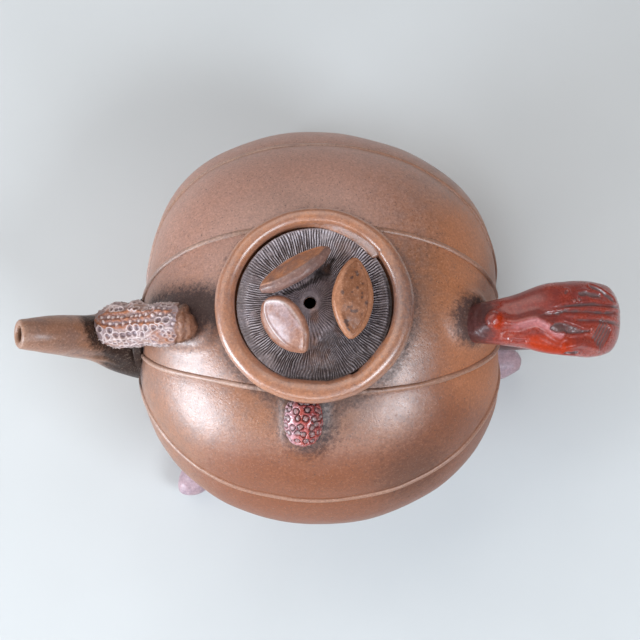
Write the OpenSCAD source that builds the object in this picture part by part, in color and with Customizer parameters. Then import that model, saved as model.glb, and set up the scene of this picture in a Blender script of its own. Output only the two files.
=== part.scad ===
// Clay teapot in natural forms. A ribbed melon lies on its side as the pot, with the spout on its
// -X pole and the handle on its +X pole. The lid is an upturned mushroom with three seeds as its
// knob. Z is up, the front is -Y, and the origin is on the table under the axis of the mouth.

/* [Melon body] */
// Half the length of the melon, from its middle to a pole
melon_half_len = 54.5; // [53:0.5:56]
// Half the width of the melon, front to back
melon_half_width = 58; // [55:0.5:61]
// Half the height of the melon
melon_half_height = 42; // [40:0.5:44]
// Height of the melon's centre above the table
melon_centre_z = 50; // [49:0.5:51]
// How square the melon's outline is: 2 is an ellipse
melon_squareness = 2.25; // [2.15:0.05:2.4]
// Thickness of the pot wall
wall = 3.5; // [3:0.1:4]
// Depth of the valleys between the eight lobes
valley_depth = 1.8; // [1:0.1:2.4]
// Depth of the dimple at each pole
dimple_depth = 4; // [2:0.5:5]
// Width of the raised rib that runs along each valley
rib_width = 1.5; // [1:0.1:2]

/* [Mouth and base] */
// Radius of the mouth's bore, which takes the lid's flange
mouth_r = 20; // [19:0.1:21]
// Height of the mouth's top edge, which the lid rests on
mouth_top_z = 92.6; // [92:0.1:93.2]
// Radius of the disc that closes the bottom
base_r = 24; // [22:0.5:25]

/* [Lid] */
// Largest radius of the lid
lid_r = 27.7; // [27:0.1:28.4]
// Width of the rolled rim
rim_width = 5.5; // [5:0.1:6]
// Height of the rim's crest above the lid's seat
rim_height = 6.4; // [6:0.1:7]
// How far the flange hangs down inside the mouth
flange_depth = 7.2; // [5:0.1:8]
// Radial gap between the flange and the mouth
flange_gap = 0.3; // [0.25:0.05:0.5]
// Diameter of the vent that lets air in while pouring
vent_d = 3.4; // [3:0.1:3.8]

/* [Spout] */
// Distance of the spout's tip from the origin along X
spout_reach = 83.2; // [82:0.2:85]
// Height of the middle of the spout's opening
spout_tip_z = 88; // [87:0.5:89]
// Outer radius of the spout at its tip
spout_tip_r = 4.3; // [4:0.1:4.8]
// Diameter of the spout's bore at the tip
spout_bore = 4.6; // [4.2:0.1:5]

/* [Handle] */
// Distance of the handle's outermost point from the origin along X
handle_reach = 87.2; // [85:0.5:89]
// Width of the handle at its widest
handle_width = 22.2; // [20:0.2:23]
// Thickness of the handle
handle_thickness = 11.5; // [10:0.5:12.5]

/* [Fruits, nuts and feet] */
// Length of the peanut that lies over the root of the spout
peanut_len = 29.9; // [28:0.1:30.5]
// Width of the peanut
peanut_width = 14.6; // [13:0.2:15.4]
// Length of the mulberry in front of the lid
mulberry_len = 12.2; // [11:0.2:13]
// Width of the mulberry
mulberry_width = 10.8; // [10:0.2:12]
// Width of a melon seed on the lid
seed_width = 12; // [11:0.2:13]
// Distance of each foot's tip from the middle of the pot
foot_reach = 62; // [60:0.5:63]
// Width of a foot
foot_width = 12.6; // [11:0.2:13.4]

/* [Hidden] */
$fn = 96;

lobe_count = 8;
// The lobes at the top, bottom, front and back are wider than the other four by this turn of
// their valleys, in degrees
lobe_shift = 2.5;
lobe_roundness = 0.7;
dimple_spread = 0.22;

collar_wall = 2.5;
collar_r = mouth_r + collar_wall;
collar_depth = 8.1;
lip_overhang = 1.1;
lip_height = 2.2;
base_bottom_z = 11.6;
base_thickness = 2.8;

// The parts of the lid stay a hair clear of the mouth and of each other's turning faces
seat_gap = 0.3;
turn_gap = 0.1;
seat_z = mouth_top_z + seat_gap;
lid_floor = 1.5;
gill_r = lid_r - rim_width - 0.6;
gill_edge = 1.1;
gill_dome = 0.8;
gill_top_z = seat_z + lid_floor + gill_edge + gill_dome;
flange_wall = 2.7;
// The vent lies a little off the lid's axis
vent_at = [-1.3, 0.8];

port_r = 7.5;
port_centre = [-melon_half_len + dimple_depth + 1.8, -3.6, melon_centre_z + 3];

// Stations of the spout, from root to tip: centre, half width, half height and bore radius. The
// shares say how far each station lies from the root towards the tip, along X and upwards.
spout_root = [-50.5, port_centre.y, port_centre.z];
spout_lean = -2.7;
function spout_station(share_x, share_z, half_w, half_h, bore_r) = [
    spout_root.x + share_x * (-spout_reach - spout_root.x),
    spout_root.y + share_x * spout_lean,
    spout_root.z + share_z * (spout_tip_z - spout_root.z),
    half_w, half_h, bore_r];
spout_stations = [
    spout_station(0.00, 0.00, 12.4, 15.0, 7.3),
    spout_station(0.08, 0.00, 12.0, 13.6, 7.0),
    spout_station(0.20, 0.08, 10.8, 11.0, 6.3),
    spout_station(0.31, 0.21, 9.1, 9.2, 5.6),
    spout_station(0.41, 0.35, 7.3, 7.6, 5.0),
    spout_station(0.53, 0.57, 6.6, 6.7, 4.4),
    spout_station(0.67, 0.77, 6.0, 6.0, 3.8),
    spout_station(0.83, 0.92, 5.1, 5.1, 3.0),
    spout_station(1.00, 1.00, spout_tip_r, spout_tip_r, spout_bore / 2)];

// Stations of the handle, from its top root round to its lower root: centre, half width, half
// thickness
handle_half_w = handle_width / 2;
handle_half_t = handle_thickness / 2;
handle_x = handle_reach - handle_half_t;
handle_stations = [
    [43.8, -3.2, 76.4, 0.48 * handle_half_w, 0.86 * handle_half_t],
    [49.0, -3.2, 80.2, 0.54 * handle_half_w, 0.92 * handle_half_t],
    [57.5, -2.8, 82.4, 0.68 * handle_half_w, 0.98 * handle_half_t],
    [66.5, -2.2, 81.6, 0.93 * handle_half_w, handle_half_t],
    [75.6, -1.7, 76.5, handle_half_w, handle_half_t],
    [handle_x, -0.8, 66.5, 0.87 * handle_half_w, 0.96 * handle_half_t],
    [handle_x - 1.2, -0.2, 53.0, 0.66 * handle_half_w, 0.92 * handle_half_t],
    [75.5, 0, 40.5, 0.50 * handle_half_w, 0.88 * handle_half_t],
    [67.0, 0, 31.2, 0.42 * handle_half_w, 0.84 * handle_half_t],
    [57.5, 0, 27.0, 0.40 * handle_half_w, 0.84 * handle_half_t],
    [48.0, 0, 29.6, 0.40 * handle_half_w, 0.84 * handle_half_t]];
spur_centre = [50.0, -3.2, 86.3];
spur_r = 2.1;

// Stations of the peanut, from its broken end over the spout to its round end by the lid
peanut_half_w = peanut_width / 2;
peanut_x = -48.4;
peanut_y = -2.6;
function peanut_station(share, z, size) = [
    peanut_x + share * peanut_len / 2, peanut_y, z,
    size * peanut_half_w, size * 0.93 * peanut_half_w];
peanut_stations = [
    peanut_station(-1.00, 76.2, 0.30),
    peanut_station(-0.88, 76.0, 0.74),
    peanut_station(-0.55, 76.4, 1.00),
    peanut_station(-0.05, 79.2, 0.88),
    peanut_station(0.45, 84.6, 1.00),
    peanut_station(0.86, 87.6, 0.74),
    peanut_station(1.00, 88.3, 0.28)];

// Stations of the mulberry, from its stalk end under the lid's rim forwards
mulberry_half_w = mulberry_width / 2;
function mulberry_station(share, z, size) = [
    -3.5, -31.4 - share * mulberry_len / 2, z, size * mulberry_half_w, size * 0.84 * mulberry_half_w];
mulberry_stations = [
    mulberry_station(-1.0, 89.2, 0.25),
    mulberry_station(-0.8, 88.9, 0.72),
    mulberry_station(-0.3, 88.2, 1.00),
    mulberry_station(0.3, 86.4, 1.00),
    mulberry_station(0.8, 84.4, 0.72),
    mulberry_station(1.0, 83.4, 0.25)];

// Stations of a foot, from its root under the melon out to its blunt tip, as [out, 0, up]
foot_half_w = foot_width / 2;
foot_stations = [
    [30.5, 0, 15.5, 0.90 * foot_half_w, 5.4],
    [33.2, 0, 9.6, 1.00 * foot_half_w, 6.4],
    [39.5, 0, 6.8, 1.00 * foot_half_w, 7.2],
    [48.0, 0, 6.0, 0.94 * foot_half_w, 6.5],
    [foot_reach - 5.5, 0, 6.8, 0.76 * foot_half_w, 5.0],
    [foot_reach - 1.5, 0, 7.7, 0.50 * foot_half_w, 3.2],
    [foot_reach, 0, 8.1, 0.18 * foot_half_w, 1.2]];
// Bearings of the three feet, counter-clockwise from +X: right, front left and back
foot_bearings = [355, 226, 110];

// Stations of a melon seed along its own length, as shares of its half length and half width
seed_half_t = 2.3;
seed_outline = [
    [-1.00, 0.12], [-0.93, 0.40], [-0.70, 0.76], [-0.30, 1.00],
    [0.20, 0.97], [0.62, 0.68], [0.88, 0.34], [1.00, 0.10]];
// Each seed: place on the lid, half length, bearing of its long axis, lean of its face and height
// of its middle above the gills
seeds = [
    [[-5.1, 9.5], 11.1, 31, -60, 4.5],
    [[10.6, 1.4], 11.2, 267, -26, 2.7],
    [[-7.7, -5.9], 9.1, 305.5, 30, 2.8]];

function unit(v) = v / norm(v);
function signed_pow(v, e) = sign(v) * pow(abs(v), e);
function total(values) = values * [for (v = values) 1];
function mean(points) = [for (k = [0:2]) total([for (p = points) p[k]]) / len(points)];

// A point on the melon. lon runs from 0 at the spout's pole to 180 at the handle's pole, and
// around turns about the X axis from straight up towards the back.
function melon_point(lon, around, inset = 0, valley = valley_depth) =
    let (
        power = 2 / melon_squareness,
        girth = pow(sin(lon), power),
        along = -signed_pow(cos(lon), power),
        dimple = 1 - dimple_depth / melon_half_len * exp(-pow(girth / dimple_spread, 2)),
        fold = 1 - pow(abs(cos(around * lobe_count / 2)), lobe_roundness),
        lobe = 1 - valley / melon_half_width * fold,
        angle = around + lobe_shift * sin(around * lobe_count / 2))
    [along * dimple * (melon_half_len - inset),
     girth * lobe * (melon_half_width - inset) * sin(angle),
     melon_centre_z + girth * lobe * (melon_half_height - inset) * cos(angle)];

// A smooth curve through stations, of any number of values each: t counts stations from 0
function spline(stations, t) =
    let (
        last = len(stations) - 1,
        i = min(floor(t), last - 1),
        f = t - i,
        a = stations[max(i - 1, 0)],
        b = stations[i],
        c = stations[i + 1],
        d = stations[min(i + 2, last)])
    (2 * b + (c - a) * f + (2 * a - 5 * b + 4 * c - d) * f * f + (3 * b - a - 3 * c + d) * f * f * f) / 2;

function place(s) = [s[0], s[1], s[2]];

// The rings of a sweep with an oval section, whose half width and half height are two of each
// station's values. side is the direction of the section's width.
function sweep_rings(stations, side, steps, count, width_at = 3, height_at = 4) =
    let (last = len(stations) - 1)
    [for (k = [0:steps])
        let (
            t = last * k / steps,
            s = spline(stations, t),
            ahead = place(spline(stations, min(t + 0.05, last))),
            behind = place(spline(stations, max(t - 0.05, 0))),
            travel = unit(ahead - behind),
            up = unit(cross(travel, side)),
            across = unit(cross(up, travel)))
        [for (j = [0:count - 1])
            let (turn = 360 * j / count)
            place(s) + s[width_at] * cos(turn) * across + s[height_at] * sin(turn) * up]];

// The two triangles of each face between ring i and ring k
function band(i, k, count) = [for (j = [0:count - 1])
    let (
        next = (j + 1) % count,
        a = i * count,
        b = k * count)
    each [[a + j, b + next, a + next], [a + j, b + j, b + next]]];

// A closed solid through rings of points, with a fan at each end
module skin(rings) {
    count = len(rings[0]);
    last = len(rings) - 1;
    start = len(rings) * count;
    points = [for (r = rings) each r, mean(rings[0]), mean(rings[last])];
    walls = [for (i = [0:last - 1]) each band(i, i + 1, count)];
    first_fan = [for (j = [0:count - 1]) [start, j, (j + 1) % count]];
    last_fan = [for (j = [0:count - 1])
        [start + 1, last * count + (j + 1) % count, last * count + j]];
    polyhedron(points, concat(walls, first_fan, last_fan), convexity = 6);
}

// A pipe between two sets of rings, which share their stations
module pipe(outside, inside) {
    count = len(outside[0]);
    last = len(outside) - 1;
    rings = concat(outside, [for (i = [0:last]) inside[last - i]]);
    faces = [for (i = [0:2 * last + 1]) each band(i, (i + 1) % (2 * last + 2), count)];
    polyhedron([for (r = rings) each r], faces, convexity = 6);
}

// The melon as a solid, made smaller by inset
module melon_solid(inset, valley, stations, count) {
    skin([for (i = [1:stations - 1])
        [for (j = [0:count - 1])
            melon_point(180 * i / stations, -360 * j / count, inset, valley)]]);
}

module melon_body() color("#A0745A")
    difference() {
        melon_solid(0, valley_depth, 36, 48);
        melon_solid(wall, 0, 22, 24);
        translate([0, 0, melon_centre_z]) cylinder(r = collar_r, h = melon_half_height + 1);
        translate([0, 0, -1]) cylinder(r = base_r, h = melon_centre_z - 20);
        translate(port_centre) rotate([0, 90, 0]) cylinder(r = port_r, h = 30, center = true);
    }

// The round of clay let into the bottom
module base_disc() color("#94684F")
    translate([0, 0, base_bottom_z]) cylinder(r = base_r, h = base_thickness);

// The short neck that the lid's flange drops into, with a lip that the lid rests on
module mouth_collar() color("#94684F") {
    lip_r = collar_r + lip_overhang;
    rotate_extrude() polygon([
        [mouth_r, mouth_top_z - collar_depth],
        [collar_r, mouth_top_z - collar_depth],
        [collar_r, mouth_top_z - lip_height],
        [lip_r, mouth_top_z - lip_height + 0.8],
        [lip_r, mouth_top_z - 0.5],
        [lip_r - 0.5, mouth_top_z],
        [mouth_r + 0.5, mouth_top_z],
        [mouth_r, mouth_top_z - 0.5]]);
}

// One applied rib of clay along a valley
module rib(number) color("#8E6650") {
    around = 360 / lobe_count * (number - 0.5);
    middle = melon_point(90, around);
    side = unit(cross([1, 0, 0], middle - [0, 0, melon_centre_z]));
    end_lon = 9;
    spans = 18;
    stations = [for (k = [0:spans])
        let (lon = end_lon + (180 - 2 * end_lon) * k / spans)
        concat(melon_point(lon, around), [rib_width / 2, rib_width / 2])];
    skin(sweep_rings(stations, side, 2 * spans, 6));
}

module spout() color("#86604A") {
    side = [0, 1, 0];
    steps = 24;
    pipe(sweep_rings(spout_stations, side, steps, 20),
         sweep_rings(spout_stations, side, steps, 20, 5, 5));
}

// A pierced plate in the port, which holds the leaves back
module spout_strainer() color("#94684F") {
    hole_r = 1.2;
    ring_r = 4.6;
    translate(port_centre) rotate([0, 90, 0])
        difference() {
            cylinder(r = port_r, h = 1.8, center = true);
            cylinder(r = hole_r, h = 3, center = true, $fn = 24);
            for (k = [0:7])
                rotate([0, 0, 45 * k]) translate([ring_r, 0, 0])
                    cylinder(r = hole_r, h = 3, center = true, $fn = 24);
        }
}

module handle() color("#A4483A")
    skin(sweep_rings(handle_stations, [0, 1, 0], 44, 20));

// The small glossy knob on top of the handle's root
module handle_spur() color("#93382E")
    translate(spur_centre) sphere(r = spur_r, $fn = 32);

// A clove-shaped foot with a flat sole
module foot(number) color("#B0878C")
    difference() {
        rotate([0, 0, foot_bearings[number - 1]])
            skin(sweep_rings(foot_stations, [0, 1, 0], 24, 20));
        translate([0, 0, -10]) cube([200, 200, 20], center = true);
    }

module peanut() color("#A98878")
    skin(sweep_rings(peanut_stations, [0, 1, 0], 24, 20));

module mulberry() color("#8A3B38")
    skin(sweep_rings(mulberry_stations, [1, 0, 0], 20, 20));

// The upturned mushroom cap: a thin floor inside a thick rolled rim
module lid_cap() color("#A87B60") {
    rim_mid = [lid_r - rim_width / 2, seat_z + rim_height / 2 + 0.3];
    rim_half_h = rim_height - (rim_mid.y - seat_z);
    roll = [for (a = [-50:10:180])
        rim_mid + [rim_width / 2 * cos(a), rim_half_h * sin(a)]];
    difference() {
        rotate_extrude() polygon(concat(
            [[0, seat_z], [collar_r + 0.3, seat_z]],
            roll,
            [[gill_r, seat_z + lid_floor], [0, seat_z + lid_floor]]));
        vent();
    }
}

// The gills of the mushroom, a low round of grey clay on the cap's floor
module gill_disc() color("#8B7D7C")
    difference() {
        rotate_extrude() polygon(concat(
            [[0, seat_z + lid_floor]],
            [for (a = [0:10:90])
                [gill_r * cos(a), seat_z + lid_floor + gill_edge * min(1, a / 10)
                    + gill_dome * sin(a)]]));
        vent();
    }

module vent()
    translate([vent_at.x, vent_at.y, seat_z - 1]) cylinder(d = vent_d, h = 8, $fn = 32);

// The plain ring that hangs inside the mouth
module lid_flange() color("#94684F") {
    flange_r = mouth_r - flange_gap;
    top_z = seat_z - turn_gap;
    rotate_extrude() polygon([
        [flange_r - flange_wall, top_z - flange_depth + 0.4],
        [flange_r - flange_wall + 0.6, top_z - flange_depth],
        [flange_r - 0.8, top_z - flange_depth],
        [flange_r, top_z - flange_depth + 0.8],
        [flange_r, top_z],
        [flange_r - flange_wall, top_z]]);
}

// A flat seed that leans on its outer edge, with the edge nearest the vent raised
module seed(number) color("#8F6650") {
    this = seeds[number - 1];
    half_len = this[1];
    stations = [for (p = seed_outline)
        [p[0] * half_len, 0, 0, p[1] * seed_width / 2, seed_half_t * pow(p[1], 0.6)]];
    translate([this[0].x, this[0].y, gill_top_z + this[4]])
        rotate([0, 0, this[2]])
            rotate([this[3], 0, 0])
                skin(sweep_rings(stations, [0, 1, 0], 20, 16));
}

melon_body();
base_disc();
mouth_collar();
for (number = [1:lobe_count])
    rib(number);
spout();
spout_strainer();
handle();
handle_spur();
for (number = [1:3])
    foot(number);
peanut();
mulberry();
lid_cap();
gill_disc();
lid_flange();
for (number = [1:3])
    seed(number);
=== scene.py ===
"""A clay teapot in natural forms: a ribbed melon pot with a peanut, a mulberry and a mushroom lid.

Every piece is swept or lofted in numpy, in millimetres, around the boxes of the CAD nodes.
"""

import functools
import itertools
import math

import bpy
import numpy as np
from mathutils import Matrix, Vector


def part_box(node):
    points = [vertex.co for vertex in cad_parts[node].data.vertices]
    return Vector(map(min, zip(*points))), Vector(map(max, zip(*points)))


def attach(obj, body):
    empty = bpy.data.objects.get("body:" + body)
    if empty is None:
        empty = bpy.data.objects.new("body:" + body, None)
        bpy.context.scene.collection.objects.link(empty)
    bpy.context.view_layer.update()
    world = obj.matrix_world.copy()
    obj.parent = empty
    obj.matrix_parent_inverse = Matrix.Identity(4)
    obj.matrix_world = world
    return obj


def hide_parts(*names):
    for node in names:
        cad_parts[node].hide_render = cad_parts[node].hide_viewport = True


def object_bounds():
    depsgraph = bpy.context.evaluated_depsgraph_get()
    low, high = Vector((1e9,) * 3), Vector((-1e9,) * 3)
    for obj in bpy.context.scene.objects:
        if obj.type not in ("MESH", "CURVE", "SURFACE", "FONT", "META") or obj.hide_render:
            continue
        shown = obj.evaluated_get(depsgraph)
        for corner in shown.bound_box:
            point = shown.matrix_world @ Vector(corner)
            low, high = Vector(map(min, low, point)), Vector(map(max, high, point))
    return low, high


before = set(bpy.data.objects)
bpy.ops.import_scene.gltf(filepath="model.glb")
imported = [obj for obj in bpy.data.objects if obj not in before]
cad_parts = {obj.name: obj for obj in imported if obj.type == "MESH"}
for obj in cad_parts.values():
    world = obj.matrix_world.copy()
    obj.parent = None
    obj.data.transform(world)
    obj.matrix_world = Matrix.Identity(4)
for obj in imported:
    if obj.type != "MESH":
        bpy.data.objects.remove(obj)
cad_bounds = [list(corner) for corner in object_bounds()]

MM = 0.001
TAU = 2 * math.pi
TABLE_MIDDLE = Vector((0, 0, 0.05))


def box_mm(node):
    low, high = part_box(node)
    return np.array(low) / MM, np.array(high) / MM


def centre_of(node):
    low, high = box_mm(node)
    return (low + high) / 2


# ---------------------------------------------------------------- camera

# Lens in millimetres, distance and shift in metres, and how far the camera leans and rolls, in degrees
LENS = 143
CAMERA_DISTANCE = 0.750
SHIFT_RIGHT, SHIFT_UP = 0.00042, 0.00212
LEAN_RIGHT, LEAN_FRONT, ROLL = 1.39, 7.81, -0.32


def make_camera():
    data = bpy.data.cameras.new("camera")
    data.sensor_width = 36
    data.lens = LENS
    data.clip_start = 0.05
    data.clip_end = 20
    camera = bpy.data.objects.new("camera", data)
    bpy.context.collection.objects.link(camera)
    back = Vector((math.tan(math.radians(LEAN_RIGHT)), -math.tan(math.radians(LEAN_FRONT)), 1)).normalized()
    up = (Vector((0, 1, 0)) - back * back.y).normalized()
    up = Matrix.Rotation(math.radians(ROLL), 3, back) @ up
    right = up.cross(back)
    aim = TABLE_MIDDLE + right * SHIFT_RIGHT + up * SHIFT_UP
    turn = Matrix((right, up, back)).transposed().to_4x4()
    camera.matrix_world = Matrix.Translation(aim + back * CAMERA_DISTANCE) @ turn
    bpy.context.scene.camera = camera


make_camera()


# ---------------------------------------------------------------- numbers and noise

def smooth(low, high, value):
    """0 at low and 1 at high, with an S-curve between them; low may be the larger."""
    t = clamp((value - low) / (high - low))
    return t * t * (3 - 2 * t)


def between(value, start, full, falling, end):
    """0 outside start and end, 1 from full to falling."""
    return smooth(start, full, value) * (1 - smooth(falling, end, value))


def bump(value, middle, width):
    """1 at the middle, falling off evenly on both sides."""
    return np.exp(-((value - middle) / width) ** 2)


def clamp(value):
    return np.clip(value, 0, 1)


def most(*values):
    """The largest of several arrays, point by point."""
    return functools.reduce(np.maximum, values)


def turns(count):
    """Angles that go once round in equal steps."""
    return TAU * np.arange(count) / count


def unit(v):
    """Vectors made one long."""
    return v / np.maximum(np.linalg.norm(v, axis=-1, keepdims=True), 1e-12)


def signed_pow(value, power):
    """A power that keeps the sign, which squares up or pinches an oval."""
    return np.sign(value) * np.abs(value) ** power


def hashed(cell, seed):
    """A number from -1 to 1 for every whole-number cell, the same on every run."""
    x, y, z = (cell[..., k].astype(np.uint64) for k in range(3))
    h = x * np.uint64(374761393) + y * np.uint64(668265263) + z * np.uint64(3266489917)
    h = (h + np.uint64(seed * 1274126177 + 97)) & np.uint64(0xFFFFFFFF)
    h = ((h ^ (h >> np.uint64(13))) * np.uint64(1274126177)) & np.uint64(0xFFFFFFFF)
    return ((h ^ (h >> np.uint64(16))) & np.uint64(0xFFFF)) / 32767.5 - 1


def noise(p, seed=0):
    """Smooth noise from -1 to 1 at points p."""
    cell = np.floor(p)
    f = p - cell
    f = f * f * (3 - 2 * f)
    cell = cell.astype(np.int64) + 100000
    total = np.zeros(p.shape[:-1])
    for corner in itertools.product((0, 1), repeat=3):
        weight = np.ones(p.shape[:-1])
        for k in range(3):
            weight = weight * (f[..., k] if corner[k] else 1 - f[..., k])
        total += weight * hashed(cell + np.array(corner), seed)
    return total


def layered(p, octaves=3, seed=0):
    """Noise with finer and weaker layers added, the first as in noise()."""
    return sum(noise(p * 2 ** k, seed + k) / 2 ** k for k in range(octaves))


def spline(stations, t):
    """A Catmull-Rom curve through stations of any number of values, at every t."""
    s = np.asarray(stations, float)
    last = len(s) - 1
    i = np.clip(np.floor(t).astype(int), 0, last - 1)
    f = (t - i)[:, None]
    a, b, c, d = s[np.maximum(i - 1, 0)], s[i], s[i + 1], s[np.minimum(i + 2, last)]
    return (2 * b + (c - a) * f + (2 * a - 5 * b + 4 * c - d) * f ** 2
            + (3 * b - a - 3 * c + d) * f ** 3) / 2


def sweep(stations, side, steps, count, power=2.0, at=(0, 0, 0)):
    """Rings of an oval section along stations (x, y, z, half width, half height), measured from at."""
    stations = np.add(stations, [*at, 0, 0])
    last = len(stations) - 1
    t = np.linspace(0, last, steps + 1) if np.isscalar(steps) else steps
    s = spline(stations, t)
    ahead = spline(stations, np.minimum(t + 0.05, last))[:, :3]
    behind = spline(stations, np.maximum(t - 0.05, 0))[:, :3]
    travel = unit(ahead - behind)
    up = unit(np.cross(travel, side))
    across = unit(np.cross(up, travel))
    turn = turns(count)
    cos, sin = signed_pow(np.cos(turn), 2 / power), signed_pow(np.sin(turn), 2 / power)
    rings = (s[:, None, :3] + s[:, None, 3:4] * cos[None, :, None] * across[:, None]
             + s[:, None, 4:5] * sin[None, :, None] * up[:, None])
    return rings, s


def normals(p, wrap_u=False, wrap_v=True):
    """Outward unit normals of a grid of points."""
    def slope(axis, wrap):
        if wrap:
            return np.roll(p, -1, axis) - np.roll(p, 1, axis)
        return np.gradient(p, axis=axis)
    n = unit(np.cross(slope(0, wrap_u), slope(1, wrap_v)))
    middle = p.mean(axis=1, keepdims=True)
    if ((p - middle) * n).sum() < 0:
        n = -n
    return n


def path_distance(p, path):
    """Distance from points to a polyline, and how far along it the nearest point is (0 to 1)."""
    path = np.asarray(path, float)
    best = np.full(p.shape[:-1], 1e9)
    along = np.zeros(p.shape[:-1])
    lengths = np.linalg.norm(np.diff(path, axis=0), axis=1)
    start = np.concatenate([[0], np.cumsum(lengths)])
    for k in range(len(path) - 1):
        a, b = path[k], path[k + 1]
        t = clamp(((p - a) @ (b - a)) / max(lengths[k] ** 2, 1e-12))
        d = np.linalg.norm(p - (a + t[..., None] * (b - a)), axis=-1)
        nearer = d < best
        best = np.where(nearer, d, best)
        along = np.where(nearer, (start[k] + t * lengths[k]) / start[-1], along)
    return best, along


def distance(p, path):
    """Distance from points to a polyline."""
    return path_distance(p, path)[0]


def gap_to(p, point):
    """Distance from points to one point."""
    return np.linalg.norm(p - point, axis=-1)


def travelled(s):
    """How far along its curve each ring of a sweep is, in millimetres."""
    return np.concatenate([[0], np.cumsum(np.linalg.norm(np.diff(s[:, :3], axis=0), axis=1))])


def snap(points, surface, n):
    """Drops points along Z onto the upper side of a surface, so height counts for little."""
    upper = surface[n[..., 2] > 0.05]
    weights = [1, 1, 0.02]
    return np.array([upper[((upper - q) ** 2 @ weights).argmin()] for q in np.asarray(points, float)])


def nearest(p, centres):
    """Distance from points to the nearest of some centres."""
    flat = p.reshape(-1, 3)
    best = np.full(len(flat), 1e9)
    for c in centres:
        best = np.minimum(best, ((flat - c) ** 2).sum(axis=1))
    return np.sqrt(best).reshape(p.shape[:-1])


def fit_inside(p, node, spare=0.03):
    """Shrinks and shifts points just enough to stay inside the box of a CAD node."""
    low, high = p.reshape(-1, 3).min(axis=0), p.reshape(-1, 3).max(axis=0)
    cad_low, cad_high = box_mm(node)
    share = np.minimum(1, (cad_high - cad_low - 2 * spare) / (high - low))
    half = (high - low) / 2 * share
    middle = np.clip((low + high) / 2, cad_low + spare + half - 1e-9, cad_high - spare - half + 1e-9)
    return (p - (low + high) / 2) * share + middle


# ---------------------------------------------------------------- meshes

def set_marks(mesh, marks):
    """Stores each mark as a float attribute, which the clay of the same piece reads."""
    for key, values in marks.items():
        mesh.attributes.new(key, "FLOAT", "POINT").data.foreach_set("value", values.astype(np.float32))


def mesh_from(name, vertices, faces, marks=None):
    """A smooth mesh object from points in millimetres, with one float attribute per mark."""
    mesh = bpy.data.meshes.new(name)
    mesh.from_pydata((vertices * MM).tolist(), [], faces)
    set_marks(mesh, marks or {})
    mesh.polygons.foreach_set("use_smooth", [True] * len(mesh.polygons))
    mesh.update()
    piece = bpy.data.objects.new(name, mesh)
    bpy.context.collection.objects.link(piece)
    return piece


def grid_piece(name, p, wrap_u=False, marks=None):
    """A closed mesh from rings of points; open ends are closed with a fan."""
    rings, count = p.shape[:2]
    index = np.arange(rings * count).reshape(rings, count)
    upper = np.roll(index, -1, 0) if wrap_u else index[1:]
    lower = index if wrap_u else index[:-1]
    quads = np.stack([lower, np.roll(lower, -1, 1), np.roll(upper, -1, 1), upper], -1).reshape(-1, 4)
    vertices = p.reshape(-1, 3)
    marks = {key: np.broadcast_to(v, (rings, count)).reshape(-1) for key, v in (marks or {}).items()}
    faces = quads.tolist()
    if not wrap_u:
        ends = (p[0].mean(axis=0), p[-1].mean(axis=0))
        start = len(vertices)
        vertices = np.concatenate([vertices, ends])
        marks = {key: np.concatenate([v, [v[:count].mean(), v[-count:].mean()]]) for key, v in marks.items()}
        first, final = index[0], index[-1]
        faces += [[start, b, a] for a, b in zip(first.tolist(), np.roll(first, -1).tolist())]
        faces += [[start + 1, a, b] for a, b in zip(final.tolist(), np.roll(final, -1).tolist())]
    a, b, c, d = (vertices[quads[:, k]] for k in range(4))
    volume = (np.cross(a, b) * c).sum() + (np.cross(a, c) * d).sum()
    if volume < 0:
        faces = [f[::-1] for f in faces]
    return mesh_from(name, vertices, faces, marks)


def cylinder_cutter(name, radius, start, end, sides=160):
    """A closed cylinder between two points, to cut with."""
    start, end = np.array(start, float), np.array(end, float)
    travel = unit(end - start)
    side = unit(np.cross(travel, [0.3, 0.9, 0.2]))
    up = np.cross(travel, side)
    turn = turns(sides)
    ring = radius * (np.cos(turn)[:, None] * side + np.sin(turn)[:, None] * up)
    return grid_piece(name, np.stack([start + ring, end + ring]))


def cut(piece, cutters):
    """Takes the cutters out of a piece and deletes them."""
    for cutter in cutters:
        modifier = piece.modifiers.new("cut", "BOOLEAN")
        modifier.operation = "DIFFERENCE"
        modifier.solver = "MANIFOLD"
        modifier.object = cutter
    graph = bpy.context.evaluated_depsgraph_get()
    made = bpy.data.meshes.new_from_object(piece.evaluated_get(graph))
    piece.modifiers.clear()
    old = piece.data
    piece.data = made
    bpy.data.meshes.remove(old)
    for cutter in cutters:
        bpy.data.objects.remove(cutter)
    made.polygons.foreach_set("use_smooth", [True] * len(made.polygons))
    made.set_sharp_from_angle(angle=math.radians(38))


def place(piece, material, body, slot, *nodes):
    """Gives a piece its clay and the body it rides on, and hides the CAD nodes that it replaces; slot is not
    used.
    """
    piece.data.materials.clear()
    piece.data.materials.append(material)
    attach(piece, body)
    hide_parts(*nodes)


def add_piece(name, p, material, slot, node, body="pot", wrap_u=False, **marks):
    """A piece from rings of points, in place of a CAD node, with the marks that its clay reads."""
    place(grid_piece(name, p, wrap_u, marks), material, body, slot, node)


# ---------------------------------------------------------------- materials

def srgb(r, g, b):
    def linear(v):
        v /= 255
        return v / 12.92 if v <= 0.04045 else ((v + 0.055) / 1.055) ** 2.4
    return (linear(r), linear(g), linear(b), 1.0)


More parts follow.
